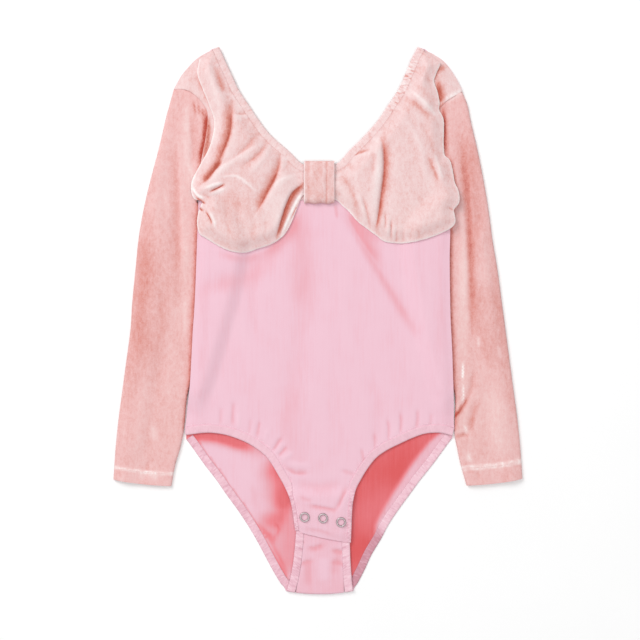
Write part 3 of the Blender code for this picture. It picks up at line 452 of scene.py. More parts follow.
# Width of the lit strip along the back edge of the right opening: y, width
LIT_RIGHT = ((-110, 12), (-122, 16), (-135, 17), (-150, 16), (-175, 14), (-205, 11), (-222, 4),
             (-262, 2))
CREASE_OVERRUN = 0.12      # share of its length that a crease fades over past each end
CREASE_TAPER = 0.4
CREASE_POWER = 1.5         # below 2, so that the creases of the bow are sharp
BACK_CREASE_SHARE = 0.5    # how much of the front's creases the back shows

# Gathers along an edge, drawn by chance: seed, spacing, height and how far they run in
Gathers = namedtuple("Gathers", "seed pitch height reach")
GATHER_LEAN = 0.45
LEG_GATHERS = Gathers(20, 6.0, 0.4, 20.0)
FLAP_GATHERS = Gathers(30, 4.0, 0.45, 12.0)
NECK_GATHERS = Gathers(41, 6.0, 0.5, 22.0)
BACK_LEG_GATHERS = Gathers(50, 6.0, 0.45, 26.0)
EXTENSION_GATHERS = Gathers(61, 3.0, 0.7, 13.0)
SLEEVE_HEAD_GATHERS = Gathers(74, 3.6, 0.45, 12.0)
CUFF_GATHERS = Gathers(84, 7.0, 0.25, 16.0)
LOBE_NECK_GATHERS = Gathers(75, 6.5, 0.45, 16.0)
LOBE_TIGHT_GATHERS = Gathers(76, 3.2, 0.6, 13.0)
LOBE_BAND_GATHERS = Gathers(95, 5.0, 0.5, 18.0)
LOBE_RIM_GATHERS = Gathers(105, 8.0, 0.35, 9.0)

# Soft unevenness, drawn by chance: seed, size and height (or tone) of its waves
Ripple = namedtuple("Ripple", "seed size height")
RIPPLE_WAVES = 6
FRONT_RIPPLE = Ripple(3, 46, 0.3)
BACK_RIPPLE = Ripple(8, 60, 0.5)
SLEEVE_RIPPLE = Ripple(12, 40, 0.3)
LOBE_RIPPLE = Ripple(14, 24, 0.25)
BAND_RIPPLE = Ripple(17, 9, 0.22)
SHADE_RIPPLE = Ripple(77, 60, 0.14)
HEM_RIPPLE = Ripple(90, 6, 0.36)

# Tones run from -1, deep painted shade, to 1, worn pile and painted highlight.
# How strongly each piece's relief shows as tone, painted darker in its troughs and lighter on its ridges:
CONTRAST = {"back_body": 0.5, "front_body": 0.38, "front_yoke": 0.6, "sleeve_left": 0.42,
            "sleeve_right": 0.42, "bow_lobe_left": 0.36, "bow_lobe_right": 0.36, "bow_band": 0.7}
LAID_CONTRAST = 0.4        # share of it on the laid part of the back
RELIEF_PASSES = 22
LOBE_PASSES = 40
FRONT_DEEPEST = -0.34
EXTENSION_TONE = -0.11
EXTENSION_DEEPEST = -0.3
SHADE_RIGHT = -0.78        # the coral shade inside the right opening and the deepest in the left
SHADE_LEFT = -0.82
SHADE_TOP_Y = -90.0
SHADE_FADE = 15.0
LIT_TONE = 0.12
LIT_FADE = 7.0
FOLD_LIT = 2.0             # the shade ends this far above the crotch fold
FOLD_LIT_FADE = 5.0
GROOVE_SHADE = -0.4         # painted shade in the groove beside the left back binding
GROOVE_WIDTH = 0.9
BODY_SHADE = 0.7           # what the body shades of a sleeve
BODY_SHADE_WIDTH = 3.5

# The raised welt along each shoulder seam, with a painted highlight along it
WELT_TONES = {"left": 0.15, "right": 0.7}
WELT_HEIGHT = 0.6
WELT_WIDTH = 1.8
WELT_TONE_WIDTH = 1.6
WELT_PLACE = 1.5
WELT_END = 34.0
WELT_FADE = 12.0

# The bow: its gathers grow tight past x, its rim has a painted highlight, and it has painted shade along the
# neck
LOBE_TIGHT_X = 66.0
LOBE_TIGHT_FADE = 16.0
LOBE_RIM_FOLDS = 0.45
LOBE_BAND_FOLDS = 0.35
LOBE_RIM_HIGHLIGHT = 0.75
LOBE_RIM_WIDTH = 0.9
LOBE_NECK_SHADE = 0.15
LOBE_NECK_WIDTH = 1.2

# The band: its grooves (x, depth, width), the wavy lip at its lower end and the painted highlight on its
# edges
BAND_GROOVES = ((8.5, 0.5, 1.3), (-9.5, 0.25, 1.6))
BAND_STRETCH = 0.4
BAND_LIP = 0.5
BAND_LIP_WAVE = 0.5
BAND_LIP_Y = 124.0
BAND_LIP_FADE = 5.0
BAND_TONE = -0.18
BAND_EDGE_HIGHLIGHT = 0.8
BAND_EDGE_WIDTH = 0.8

# Puckers of a bound edge: spacing, height, contrast of their painted shade and highlight, tone, how strong
# along it, seed
Puckers = namedtuple("Puckers", "pitch height contrast tone strength seed")
PUCKER_REACH = 40.0
BINDING_COLUMNS = 9
RIM_SHARE = 0.35           # share of the width over which a binding's rim is rounded
RIM_THIN = 0.25
ROW_CHANGE = 0.35          # where across a binding the outer puckers give way to the inner ones
ROW_CHANGE_WIDTH = 0.3
NECK_LOOSE = 0.3           # the neck's puckers are strong past x alone, and die out at the top
NECK_TIGHT_X = 62.0
NECK_TIGHT_FADE = 20.0
NECK_TOP_Y = 265.0
NECK_TOP_FADE = 8.0
FRONT_RIB_TONE = -0.04
FRONT_RIB_STRENGTH = 0.25
FLAP_RIB_TONE = -0.18
BACK_RIB_TONE = -0.16
BACK_RIB_STRENGTH = 0.75
BACK_RIB_CHANGE = 10.0
BINDING_SHADED = -0.85     # painted shade on the right back binding from here down to the fold
BINDING_SHADE_Y = -206.0
BINDING_SHADE_FADE = 14.0
BINDING_SHADE_END = 3.0

# The turned hem of each cuff: how far its stitch line lies from the edge, and how wide it shows
Hem = namedtuple("Hem", "depth width")
HEMS = {"left": Hem(13.6, 2.6), "right": Hem(20.0, 5.0)}
HEM_HEIGHT = 0.45
HEM_EDGE = 0.8
# The light strip and line along the hem: partly rubbed pile, partly painted highlight on the raised hem
HEM_TONE = 0.45
HEM_TONE_FADE = 1.4
HEM_LINE_TONE = 0.25
HEM_LINE_WIDTH = 1.0

# Stitches: each is a bar through stations along it, with its thickness there
Stitch = namedtuple("Stitch", "pitch length radius")
CUFF_STITCH = Stitch(3.0, 2.2, 0.26)
LEG_STITCH = Stitch(2.6, 1.8, 0.2)
STITCH_STATIONS = ((-0.5, 0.3), (-0.36, 0.9), (0.0, 1.0), (0.36, 0.9), (0.5, 0.3))
STITCH_SIDES = 6
STITCH_RISE = 0.3
STITCH_TONE = 0.5
LEG_STITCH_PLACE = 1.6     # how far from the binding they run
CUFF_STITCH_ENDS = slice(5, -5)
LEG_STITCH_ENDS = slice(6, -4)

# Snap fasteners: x, y of each centre on the flap, and the ring's section: across, up
SNAPS = ((-13.4, -196.5), (5, -197.5), (23, -201.5))
SNAP_RING_RADIUS = 4.1
SNAP_RING_TUBE = 0.9
SNAP_STRETCH = 1.35
SNAP_STEPS = 48
SNAP_PROFILE = ((-0.9, 0.15), (-0.75, 0.75), (-0.35, 1.25), (-0.1, 1.1), (0.1, 1.1), (0.35, 1.25),
                (0.75, 0.75), (0.9, 0.15), (0.6, 0.0), (-0.6, 0.0))

# The record of a piece's flat cut, how it is held and what it rests on; no piece is given one
Cut = namedtuple("Cut", "width length held rests_on")

# Colours of each cloth from its deepest painted shade to its lightest, worn and painted highlight, 0 to 255
SLEEVE_STOPS = ((0.0, (180, 74, 60)), (0.26, (216, 146, 138)), (0.5, (232, 184, 182)),
                (0.72, (238, 205, 203)), (1.0, (252, 245, 243)))
BOW_STOPS = ((0.0, (186, 96, 80)), (0.22, (217, 148, 138)), (0.5, (233, 200, 199)),
             (0.72, (240, 220, 219)), (1.0, (252, 245, 243)))
JERSEY_STOPS = ((0.0, (220, 94, 96)), (0.2, (234, 134, 142)), (0.36, (232, 168, 179)),
                (0.5, (237, 194, 208)), (1.0, (248, 220, 230)))
ELASTIC_STOPS = ((0.0, (202, 140, 154)), (0.3, (226, 176, 190)), (0.5, (239, 196, 208)),
                 (0.7, (244, 208, 218)), (1.0, (254, 238, 243)))
EVEN = (1.0, 1.0, 1.0)     # noise that isn't stretched
WALE = 1.0
COURSE = 0.8

# Camera, floor and lights; a lamp's place and size are in metres, its power in watts
LENS = 85.0
VIEW_X = 2.0
VIEW_Y = 0.5
VIEW_Z = 1517.0
FLOOR_HALF = 6000.0
FLOOR_Z = -0.05
FLOOR_TONES = (0.96, 0.98)
LAMPS = (("key", (-1.6, 1.75, 2.2), 1.6, 52.0), ("overhead", (0.3, -0.3, 2.6), 2.6, 29.0))
WORLD_LIGHT = 0.44


def smoothstep(values):
    """A soft step from 0 to 1."""
    t = np.clip(values, 0.0, 1.0)
    return t * t * (3.0 - 2.0 * t)


def bell(offset, width, power=2.0):
    """A soft ridge: 1 in its middle, low past its half width."""
    return np.exp(-np.abs(offset / width) ** power)


def rounded(share):
    """The height of a quarter circle, 0 where the share is 0 and 1 from share 1 on."""
    return np.sqrt(1.0 - (1.0 - np.minimum(share, 1.0)) ** 2)


def mix(first, second, share):
    """A value between two others."""
    return first + (second - first) * share


def evenly(curve, spacing):
    """A polyline read again at even steps of about `spacing`."""
    lengths = np.concatenate(([0.0], np.cumsum(np.linalg.norm(np.diff(curve, axis=0), axis=1))))
    wanted = np.linspace(0.0, lengths[-1], max(2, round(lengths[-1] / spacing)) + 1)
    return np.column_stack((np.interp(wanted, lengths, curve[:, 0]),
                            np.interp(wanted, lengths, curve[:, 1])))


def smooth(points, spacing):
    """Points about `spacing` apart on a smooth curve through the given ones."""
    knots = np.array(points, dtype=float)
    ends = np.vstack((2 * knots[0] - knots[1], knots, 2 * knots[-1] - knots[-2]))
    curve = []
    for a, b, c, d in zip(ends, ends[1:], ends[2:], ends[3:]):
        for t in np.linspace(0.0, 1.0, CURVE_PIECES, endpoint=False):
            curve.append(0.5 * (2 * b + (c - a) * t + (2 * a - 5 * b + 4 * c - d) * t ** 2
                                + (3 * b - a - 3 * c + d) * t ** 3))
    curve.append(knots[-1])
    return evenly(np.array(curve), spacing)


def both(left, right):
    """The smooth curves of a pair of edges, by side."""
    return {"left": smooth(left, EDGE_STEP), "right": smooth(right, EDGE_STEP)}


def sideways(path, distance):
    """The path moved to the right of its own direction."""
    run = np.gradient(path, axis=0)
    run /= np.linalg.norm(run, axis=1)[:, None]
    return path + np.reshape(distance, (-1, 1)) * np.column_stack((run[:, 1], -run[:, 0]))


def trace(path, points):
    """Distance of each point from a path, the length along it there, and the side, + on the left."""
    best = np.full(len(points), np.inf)
    along = np.zeros(len(points))
    side = np.ones(len(points))
    travelled = 0.0
    for start, end in zip(path, path[1:]):
        run = end - start
        length = max(np.linalg.norm(run), 1e-6)
        offset = points - start
        share = np.clip(offset @ run / length ** 2, 0.0, 1.0)
        gap = np.linalg.norm(offset - share[:, None] * run, axis=1)
        near = gap < best
        best[near] = gap[near]
        along[near] = travelled + share[near] * length
        side[near] = np.where(run[0] * offset[near, 1] - run[1] * offset[near, 0] > 0.0, 1.0, -1.0)
        travelled += length
    return best, along, side


def distance_to(path, points):
    """How far each point lies from a polyline."""
    return trace(path, points)[0]


def inside(outline, points):
    """Which points lie inside a closed outline."""
    result = np.zeros(len(points), dtype=bool)
    x, y = points[:, 0], points[:, 1]
    for (x0, y0), (x1, y1) in zip(outline, np.roll(outline, -1, axis=0)):
        crosses = (y0 > y) != (y1 > y)
        with np.errstate(divide="ignore", invalid="ignore"):
            result ^= crosses & (x < (x1 - x0) * (y - y0) / (y1 - y0) + x0)
    return result


def creases(table, points, power=2.0):
    """The height that a table of creases adds at each point; a low power makes their middles sharp."""
    total = np.zeros(len(points))
    for crease in map(Crease._make, table):
        route = smooth(((crease.x0, crease.y0), (crease.x1, crease.y1), (crease.x2, crease.y2)), CREASE_STEP)
        length = np.linalg.norm(np.diff(route, axis=0), axis=1).sum()
        distance, along, side = trace(route, points)
        width = np.where(side > 0.0, crease.left, crease.right)
        taper = (smoothstep((along / length + CREASE_OVERRUN) / CREASE_TAPER)
                 * smoothstep((1.0 + CREASE_OVERRUN - along / length) / CREASE_TAPER))
        total += crease.height * taper * bell(distance, width, power)
    return total


def gathers(distance, along, kind, extra=0):
    """Short ridges and dips that run in from a gathered edge, uneven in pitch, height and length."""
    random = np.random.default_rng(kind.seed + extra)
    total = np.zeros(len(distance))
    place = along.min()
    while place < along.max():
        place += kind.pitch * random.uniform(0.5, 1.5)
        rise = kind.height * random.uniform(0.3, 1.0) * random.choice((-1.0, 1.0))
        length = kind.reach * random.uniform(0.4, 1.0)
        width = kind.pitch * random.uniform(0.25, 0.45)
        lean = random.uniform(-GATHER_LEAN, GATHER_LEAN)
        total += rise * bell(along - place - lean * distance, width) * smoothstep(1.0 - distance / length)
    return total


def gathered(edge, points, kind, extra=0):
    """The gathers that run in from an edge, at each point."""
    distance, along, _ = trace(edge, points)
    return gathers(distance, along, kind, extra)


def ripple(points, kind):
    """A gentle unevenness, from a few crossing waves."""
    random = np.random.default_rng(kind.seed)
    total = np.zeros(len(points))
    for _ in range(RIPPLE_WAVES):
        turn, phase = random.uniform(0.0, tau, 2)
        wave = tau / (kind.size * random.uniform(0.7, 1.6))
        total += np.sin(wave * (points[:, 0] * np.cos(turn) + points[:, 1] * np.sin(turn)) + phase)
    return kind.height * total / RIPPLE_WAVES


# The smooth edges, read once
FRONT_LEGS = {"left": FRONT_LEG_LEFT, "right": FRONT_LEG_RIGHT}
BACK_LEGS = {"left": (BACK_LEG_LEFT, EXTENSION_LEFT), "right": (BACK_LEG_RIGHT, EXTENSION_RIGHT)}
LOBES = {"left": LOBE_LEFT, "right": LOBE_RIGHT}
NECK_EDGE = smooth(NECKLINE, EDGE_STEP)
BACK_NECK_EDGE = smooth(BACK_NECKLINE, EDGE_STEP)
FLAP_EDGE = smooth(FLAP_BOTTOM, EDGE_STEP)
SIDE_EDGES = both(SIDE_LEFT, SIDE_RIGHT)
SEAM_EDGES = [*SIDE_EDGES.values(), *both(SHOULDER_LEFT, SHOULDER_RIGHT).values()]
ARMHOLES = both(ARMHOLE_LEFT, ARMHOLE_RIGHT)
LEG_EDGES = both(FRONT_LEG_LEFT, FRONT_LEG_RIGHT)
SLEEVE_OUTER = both(SLEEVE_OUTER_LEFT, SLEEVE_OUTER_RIGHT)
SLEEVE_INNER = both(SLEEVE_INNER_LEFT, SLEEVE_INNER_RIGHT)
CUFFS = both(CUFF_LEFT, CUFF_RIGHT)


def sleeve_lift(points):
    """How far the body is raised where a sleeve lies under its side."""
    lift = np.zeros(len(points))
    x, y = points.T
    along = smoothstep((LIFT_TOP_Y - y) / LIFT_FADE) * smoothstep((y - LIFT_END_Y) / LIFT_FADE)
    for side, edge in SLEEVE_INNER.items():
        order = np.argsort(edge[:, 1])
        past = SIGNS[side] * (x - np.interp(y, edge[order, 1], edge[order, 0]))
        distance = np.where(past > 0.0, 1.0, -1.0) * distance_to(edge, points)
        lift = np.maximum(lift, smoothstep((distance + LIFT_REACH) / LIFT_SLOPE))
    return SLEEVE_LIFT * lift * along


def flap_part(points):
    """0 on the body of the front, 1 on its crotch flap."""
    return smoothstep((FLAP_START_Y - points[:, 1]) / (FLAP_START_Y - FLAP_FULL_Y))


def front_binding_width(path):
    """Width of the front leg binding, narrower down the sides of the flap."""
    return mix(LEG_BINDING_WIDTH, FLAP_BINDING_WIDTH, flap_part(path))


def front_folds(points):
    """Creases of the front, with the gathers along its leg edges and its neck."""
    flap = flap_part(points)
    total = creases(BODY_CREASES + FLAP_CREASES, points) + ripple(points, FRONT_RIPPLE)
    for extra, edge in enumerate(LEG_EDGES.values()):
        total += gathered(edge, points, LEG_GATHERS, extra) * (1.0 - flap)
        total += gathered(edge, points, FLAP_GATHERS, extra) * flap
    return total + gathered(NECK_EDGE, points, NECK_GATHERS)


def front_height(points, seams=True, with_folds=None):
    """Underside of the front yoke and front body."""
    flap = flap_part(points)
    legs = np.minimum(distance_to(LEG_EDGES["left"], points), distance_to(LEG_EDGES["right"], points))
    leg_base = mix(LEG_LIFT, EXTENSION_TOP + SEAM_GAP, flap)
    full = mix(FRONT_LIFT, EXTENSION_TOP + FLAP_RISE, flap)
    full += front_folds(points) if with_folds is None else with_folds
    height = mix(leg_base, full, smoothstep(legs / SEAM_SLOPE))
    height = mix(NECK_LIFT, height, smoothstep(distance_to(NECK_EDGE, points) / SEAM_SLOPE))
    height -= FLAP_DROP * flap * smoothstep(1.0 - distance_to(FLAP_EDGE, points) / FLAP_DROP_REACH)
    if seams:
        seam = np.min([distance_to(edge, points) for edge in SEAM_EDGES], axis=0)
        height = mix(SEAM_LIFT, height, smoothstep(seam / SEAM_SLOPE))
    return height + sleeve_lift(points)


def fold_line(x):
    """y of the middle of the crotch fold."""
    return FOLD_Y + FOLD_END_RISE * ((x - FOLD_MIDDLE_X) / FOLD_HALF_WIDTH) ** 2


def unfolded(points):
    """Where points of the folded-up extension lie on the flat cut of the back."""
    points = np.array(points, dtype=float)
    points[:, 1] = 2 * fold_line(points[:, 0]) - pi * FOLD_RADIUS - points[:, 1]
    return points


def fold_up(points):
    """Positions of the flat cut of the back, with the crotch folded up over itself."""
    x, y = points[:, 0], points[:, 1]
    line = fold_line(x)
    past = line - y
    turn = np.clip(past / FOLD_RADIUS, 0.0, pi)
    folded_y = line - FOLD_RADIUS * np.sin(turn) + np.maximum(past - pi * FOLD_RADIUS, 0.0)
    return np.column_stack((x, np.where(past > 0.0, folded_y, y),
                            FOLD_RADIUS * (1.0 - np.cos(turn)) + sleeve_lift(points)))


def back_folds(points):
    """Creases of the back, all raised, so that the underside still rests flat between them."""
    placed = fold_up(points)[:, :2]
    upper = points[:, 1] < fold_line(points[:, 0]) - pi * FOLD_RADIUS
    laid = np.maximum(ripple(points, BACK_RIPPLE), 0.0)
    laid += BACK_CREASE_SHARE * np.maximum(-creases(BODY_CREASES, points), 0.0)
    for extra, edge in enumerate(BACK_LEG_CURVES.values()):
        laid += np.maximum(gathered(edge, points, BACK_LEG_GATHERS, extra), 0.0)
    folded = creases(EXTENSION_CREASES, placed)
    for extra, edge in enumerate(both(EXTENSION_LEFT, EXTENSION_RIGHT).values()):
        folded += gathered(edge, placed, EXTENSION_GATHERS, extra)
    return np.where(upper, folded, laid)


def fill(outline, spacing, rows=None):
    """Triangles over a closed outline, from an even net and from rows of points given for it."""
    border_tree = tree_of(outline)
    x, y = np.meshgrid(np.arange(outline[:, 0].min(), outline[:, 0].max(), spacing),
                       np.arange(outline[:, 1].min(), outline[:, 1].max(), spacing * NET_ROWS))
    x[1::2] += spacing / 2
    net = np.column_stack((x.ravel(), y.ravel()))
    net = net[inside(outline, net)]
    net = net[gap_to(border_tree, net) > NET_EDGE_CLEAR * spacing]
    if rows is not None:
        rows = rows[inside(outline, rows)]
        rows = rows[gap_to(border_tree, rows) > ROW_CLEAR]
        net = np.vstack((rows, net[gap_to(tree_of(rows), net) > NET_ROW_CLEAR * spacing]))
    points = np.vstack((outline, net))
    border = [(i, (i + 1) % len(outline)) for i in range(len(outline))]
    verts, _, faces, *_ = delaunay_2d_cdt([tuple(p) for p in points], border, [], 1, 1e-5)
    return np.array([tuple(v) for v in verts]), faces


def tree_of(points):
    """A search tree over points in plan."""
    tree = KDTree(len(points))
    for index, (x, y) in enumerate(points):
        tree.insert((x, y, 0.0), index)
    tree.balance()
    return tree


def gap_to(tree, points):
    """How far each point lies from the nearest point of a tree."""
    return np.array([tree.find((x, y, 0.0))[2] for x, y in points])


def relief(mesh, folds, passes=RELIEF_PASSES):
    """How far each point stands above or below its neighbourhood."""
    ends = np.zeros(len(mesh.edges) * 2, dtype=np.int32)
    mesh.edges.foreach_get("vertices", ends)
    a, b = ends.reshape(-1, 2).T
    count = len(folds)
    degree = np.maximum(np.bincount(a, minlength=count) + np.bincount(b, minlength=count), 1)
    level = folds.copy()
    for _ in range(passes):
        level = (np.bincount(a, level[b], count) + np.bincount(b, level[a], count)) / degree
    return folds - level


def link(name, data):
    """Make an object and put it in the scene."""
    made = bpy.data.objects.new(name, data)
    bpy.context.scene.collection.objects.link(made)
    return made


def new_piece(name, mesh, finish, nodes):
    """Link a mesh as a piece of the garment that rides on its body and stands for CAD nodes."""
    mesh.shade_smooth()
    mesh.materials.append(finish)
    piece = link(name, mesh)
    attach(piece, "root")
    if nodes:
        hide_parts(*nodes)
    return piece


def set_shade(mesh, shade):
    """Store the cloth's painted shade (-1, deep) and its worn pile and painted highlight (+1, light) at each
    point.
    """
    layer = mesh.attributes.new("shade", "FLOAT", "POINT")
    layer.data.foreach_set("value", np.clip(shade, -1.0, 1.0).astype(np.float32))


def thicken(piece, wall):
    """Give a cloth surface its wall and softly rounded rims."""
    solidify = piece.modifiers.new("wall", "SOLIDIFY")
    solidify.thickness = wall * MM
    solidify.offset = 1.0
    bevel = piece.modifiers.new("rims", "BEVEL")
    bevel.width = RIM_ROUND * MM
    bevel.segments = 2
    bevel.limit_method = "ANGLE"
    bevel.angle_limit = np.radians(RIM_ANGLE)


def mesh_of(name, points, faces):
    """A mesh from points in mm."""
    mesh = bpy.data.meshes.new(name)
    mesh.from_pydata((np.array(points) * MM).tolist(), [], faces)
    return mesh


def rework(mesh, operation):
    """Run one bmesh operation on a mesh."""
    bm = bmesh.new()
    bm.from_mesh(mesh)
    operation(bm)
    bm.to_mesh(mesh)
    bm.free()


def cloth(name, points, faces, wall, finish, folds, tone=0.0, passes=RELIEF_PASSES, deepest=-1.0):
    """A sewn piece: points in mm joined by faces, its shade and its wall."""
    mesh = mesh_of(f"{name}_cloth", points, faces)
    # The relief is painted on: shade in its troughs, highlight on its ridges, over the tone given
    set_shade(mesh, np.maximum(CONTRAST[name] * relief(mesh, folds, passes) + tone, deepest))
    piece = new_piece(f"{name}_cloth", mesh, finish, [name])
    thicken(piece, wall)
    return piece


def quads(rows, columns, first=0, rows_close=False, columns_close=True):
    """Faces between the points of a grid, counted from `first`, whose rows or columns may close up."""
    return [(first + r * columns + c, first + r * columns + (c + 1) % columns,
             first + (r + 1) % rows * columns + (c + 1) % columns, first + (r + 1) % rows * columns + c)
            for r in range(rows if rows_close else rows - 1)
            for c in range(columns if columns_close else columns - 1)]


def tube(rings, size, first=0):
    """Faces through a row of rings of points, with both ends closed."""
    last = first + (rings - 1) * size
    return [*quads(rings, size, first), tuple(range(first, first + size))[::-1],
            tuple(range(last, last + size))]


def closed_mesh(name, points, faces):
    """A mesh from points in mm, its faces turned outwards."""
    mesh = mesh_of(name, points, faces)
    rework(mesh, lambda bm: bmesh.ops.recalc_face_normals(bm, faces=bm.faces))
    return mesh


def loft(name, rings, finish, shade, nodes):
    """A closed solid through a row of rings of points, in mm."""
    mesh = closed_mesh(name, np.vstack(rings), tube(len(rings), len(rings[0])))
    set_shade(mesh, np.ravel(shade))
    return new_piece(name, mesh, finish, nodes)


def body_outline(neck, top_y=None):
    """The upper outline of a body panel: neck, right shoulder, armhole and side, then the left ones."""
    right = [smooth(np.vstack((neck[-1:], SHOULDER_RIGHT)), EDGE_STEP)[1:-1],
             sideways(ARMHOLES["right"], SEWN_GAP)]
    left = [smooth(np.vstack((neck[:1], SHOULDER_LEFT)), EDGE_STEP)[1:-1],
            sideways(ARMHOLES["left"], -SEWN_GAP)]
    sides = {name: side[1:] for name, side in SIDE_EDGES.items()}
    if top_y is not None:
        sides = {name: np.vstack((side[side[:, 1] > top_y + CORNER_CLEAR],
                                  (np.interp(-top_y, -side[:, 1], side[:, 0]), top_y)))
                 for name, side in sides.items()}
    return [neck, *right, sides["right"]], [sides["left"][::-1], left[1][::-1], left[0][::-1]]


def back_leg(side, step):
    """The leg edge of the back on the flat cut, from the hip past the crotch fold."""
    lower, upper = BACK_LEGS[side]
    return smooth(np.vstack((lower, unfolded(upper))), step)


BACK_LEG_CURVES = {side: back_leg(side, EDGE_STEP) for side in SIDES}


def make_yoke(finish):
    """The velvet yoke under the bow, with a welt beside each shoulder seam."""
    neck = sideways(NECK_EDGE, NECK_BINDING_WIDTH + SEWN_GAP)
    right, left = body_outline(neck, YOKE_SEAM_Y)
    seam = evenly(np.array((right[-1][-1], left[0][0])), EDGE_STEP)[1:-1]
    outline = np.vstack((*right, seam, *left))
    flat, faces = fill(outline, YOKE_NET)
    folds = front_folds(flat)
    # Painted shade beside the bow's edges, and a painted highlight along each welt
    tone = creases(YOKE_SHADES, flat)
    height = front_height(flat, with_folds=folds)
    for side, edge in ARMHOLES.items():
        distance, along, _ = trace(edge, flat)
        shoulder = WELT_TONES[side] * smoothstep((WELT_END - along) / WELT_FADE)
        tone += shoulder * bell(distance - WELT_PLACE, WELT_TONE_WIDTH)
        height += shoulder * WELT_HEIGHT * bell(distance - WELT_PLACE, WELT_WIDTH)
    piece = cloth("front_yoke", np.column_stack((flat, height)), faces, VELVET, finish, folds, tone)


def make_front(finish):
    """The jersey front from the yoke seam down to the end of the crotch flap."""
    legs = {side: sideways(edge, SIGNS[side] * (front_binding_width(edge) + SEWN_GAP))
            for side, edge in LEG_EDGES.items()}
    sides = {}
    for name, side in SIDE_EDGES.items():
        top = np.interp(-YOKE_SEAM_Y, -side[:, 1], side[:, 0])
        kept = (side[:, 1] < YOKE_SEAM_Y - CORNER_CLEAR) & (side[:, 1] > legs[name][0][1] + CORNER_CLEAR)
        sides[name] = np.vstack(((top, YOKE_SEAM_Y - SEWN_GAP), side[kept]))
    seam = evenly(np.array((sides["right"][0], sides["left"][0])), EDGE_STEP)[1:-1]
    flap = FLAP_EDGE[(FLAP_EDGE[:, 0] > legs["left"][-1][0] + CORNER_CLEAR)
                     & (FLAP_EDGE[:, 0] < legs["right"][-1][0] - CORNER_CLEAR)]
    outline = np.vstack((seam, sides["left"], legs["left"], flap, legs["right"][::-1],
                         sides["right"][::-1]))
    flat, faces = fill(outline, FRONT_NET)
    folds = front_folds(flat)
    points = np.column_stack((flat, front_height(flat, with_folds=folds)))
    piece = cloth("front_body", points, faces, JERSEY, finish, folds, creases(BODY_SHADES, flat),
                  deepest=FRONT_DEEPEST)


def leg_shade(points):
    """The coral shade inside the leg openings."""
    x, y = points.T
    table = np.array(LIT_RIGHT)[::-1]
    past_lit = distance_to(BACK_LEG_CURVES["right"], points) - np.interp(y, table[:, 0], table[:, 1])
    right = (ripple(points, SHADE_RIPPLE) + SHADE_RIGHT) * smoothstep(past_lit / LIT_FADE + 0.5)
    groove = distance_to(BACK_LEG_CURVES["left"], points) - LEG_BINDING_WIDTH
    left = np.maximum(creases(BACK_SHADES, points), SHADE_LEFT) + GROOVE_SHADE * bell(groove, GROOVE_WIDTH)
    shade = np.where(x < 0.0, left, right - LIT_TONE) * smoothstep((SHADE_TOP_Y - y) / SHADE_FADE)
    return shade * smoothstep((y - fold_line(x) - FOLD_LIT) / FOLD_LIT_FADE)


def make_back(finish):
    """The jersey back, with its crotch extension folded up over itself."""
    neck = sideways(BACK_NECK_EDGE, NECK_BINDING_WIDTH + SEWN_GAP)
    right, left = body_outline(neck)
    inner, corner = {}, {}
    for side, leg in BACK_LEG_CURVES.items():
        run = leg[0] - leg[1]
        corner[side] = leg[:1] + SEWN_GAP * run / np.linalg.norm(run)
        past = leg[:, 1] - fold_line(leg[:, 0]) + 0.5 * pi * FOLD_RADIUS
        gap = SEWN_GAP + FOLD_GAP * bell(past, FOLD_GAP_REACH)
        inner[side] = sideways(leg, SIGNS[side] * (LEG_BINDING_WIDTH + gap))
    top = evenly(np.array((inner["right"][-1], inner["left"][-1])), EDGE_STEP)[1:-1]
    outline = np.vstack((*right, corner["right"], inner["right"], top, inner["left"][::-1],
                         corner["left"], *left))
    columns = FOLD_MIDDLE_X + FOLD_HALF_WIDTH * CROTCH_COLUMNS
    rows = np.array([(x, fold_line(x) - bend) for bend in CROTCH_BENDS * pi * FOLD_RADIUS
                     for x in columns])
    flat, faces = fill(outline, BODY_NET, rows)
    folds = back_folds(flat)
    bend = fold_line(flat[:, 0]) - flat[:, 1]
    turned = (smoothstep((bend + FOLD_CALM) / FOLD_CALM)
              * smoothstep((pi * FOLD_RADIUS + FOLD_CALM - bend) / FOLD_CALM))
    free = np.where(bend > 0.0, 1.0, smoothstep(edge_distance(outline, flat) / EDGE_CALM))
    points = fold_up(flat)
    points[:, 2] += folds * (1.0 - turned) * free
    upper = bend > 0.5 * pi * FOLD_RADIUS
    piece = cloth("back_body", points, faces, JERSEY, finish,
                  np.where(upper, folds, LAID_CONTRAST * folds),
                  np.where(upper, EXTENSION_TONE, leg_shade(flat)),
                  deepest=np.where(upper, EXTENSION_DEEPEST, -1.0))


def edge_distance(outline, points):
    """How far each point lies from a closed outline."""
    return distance_to(np.vstack((outline, outline[:1])), points)


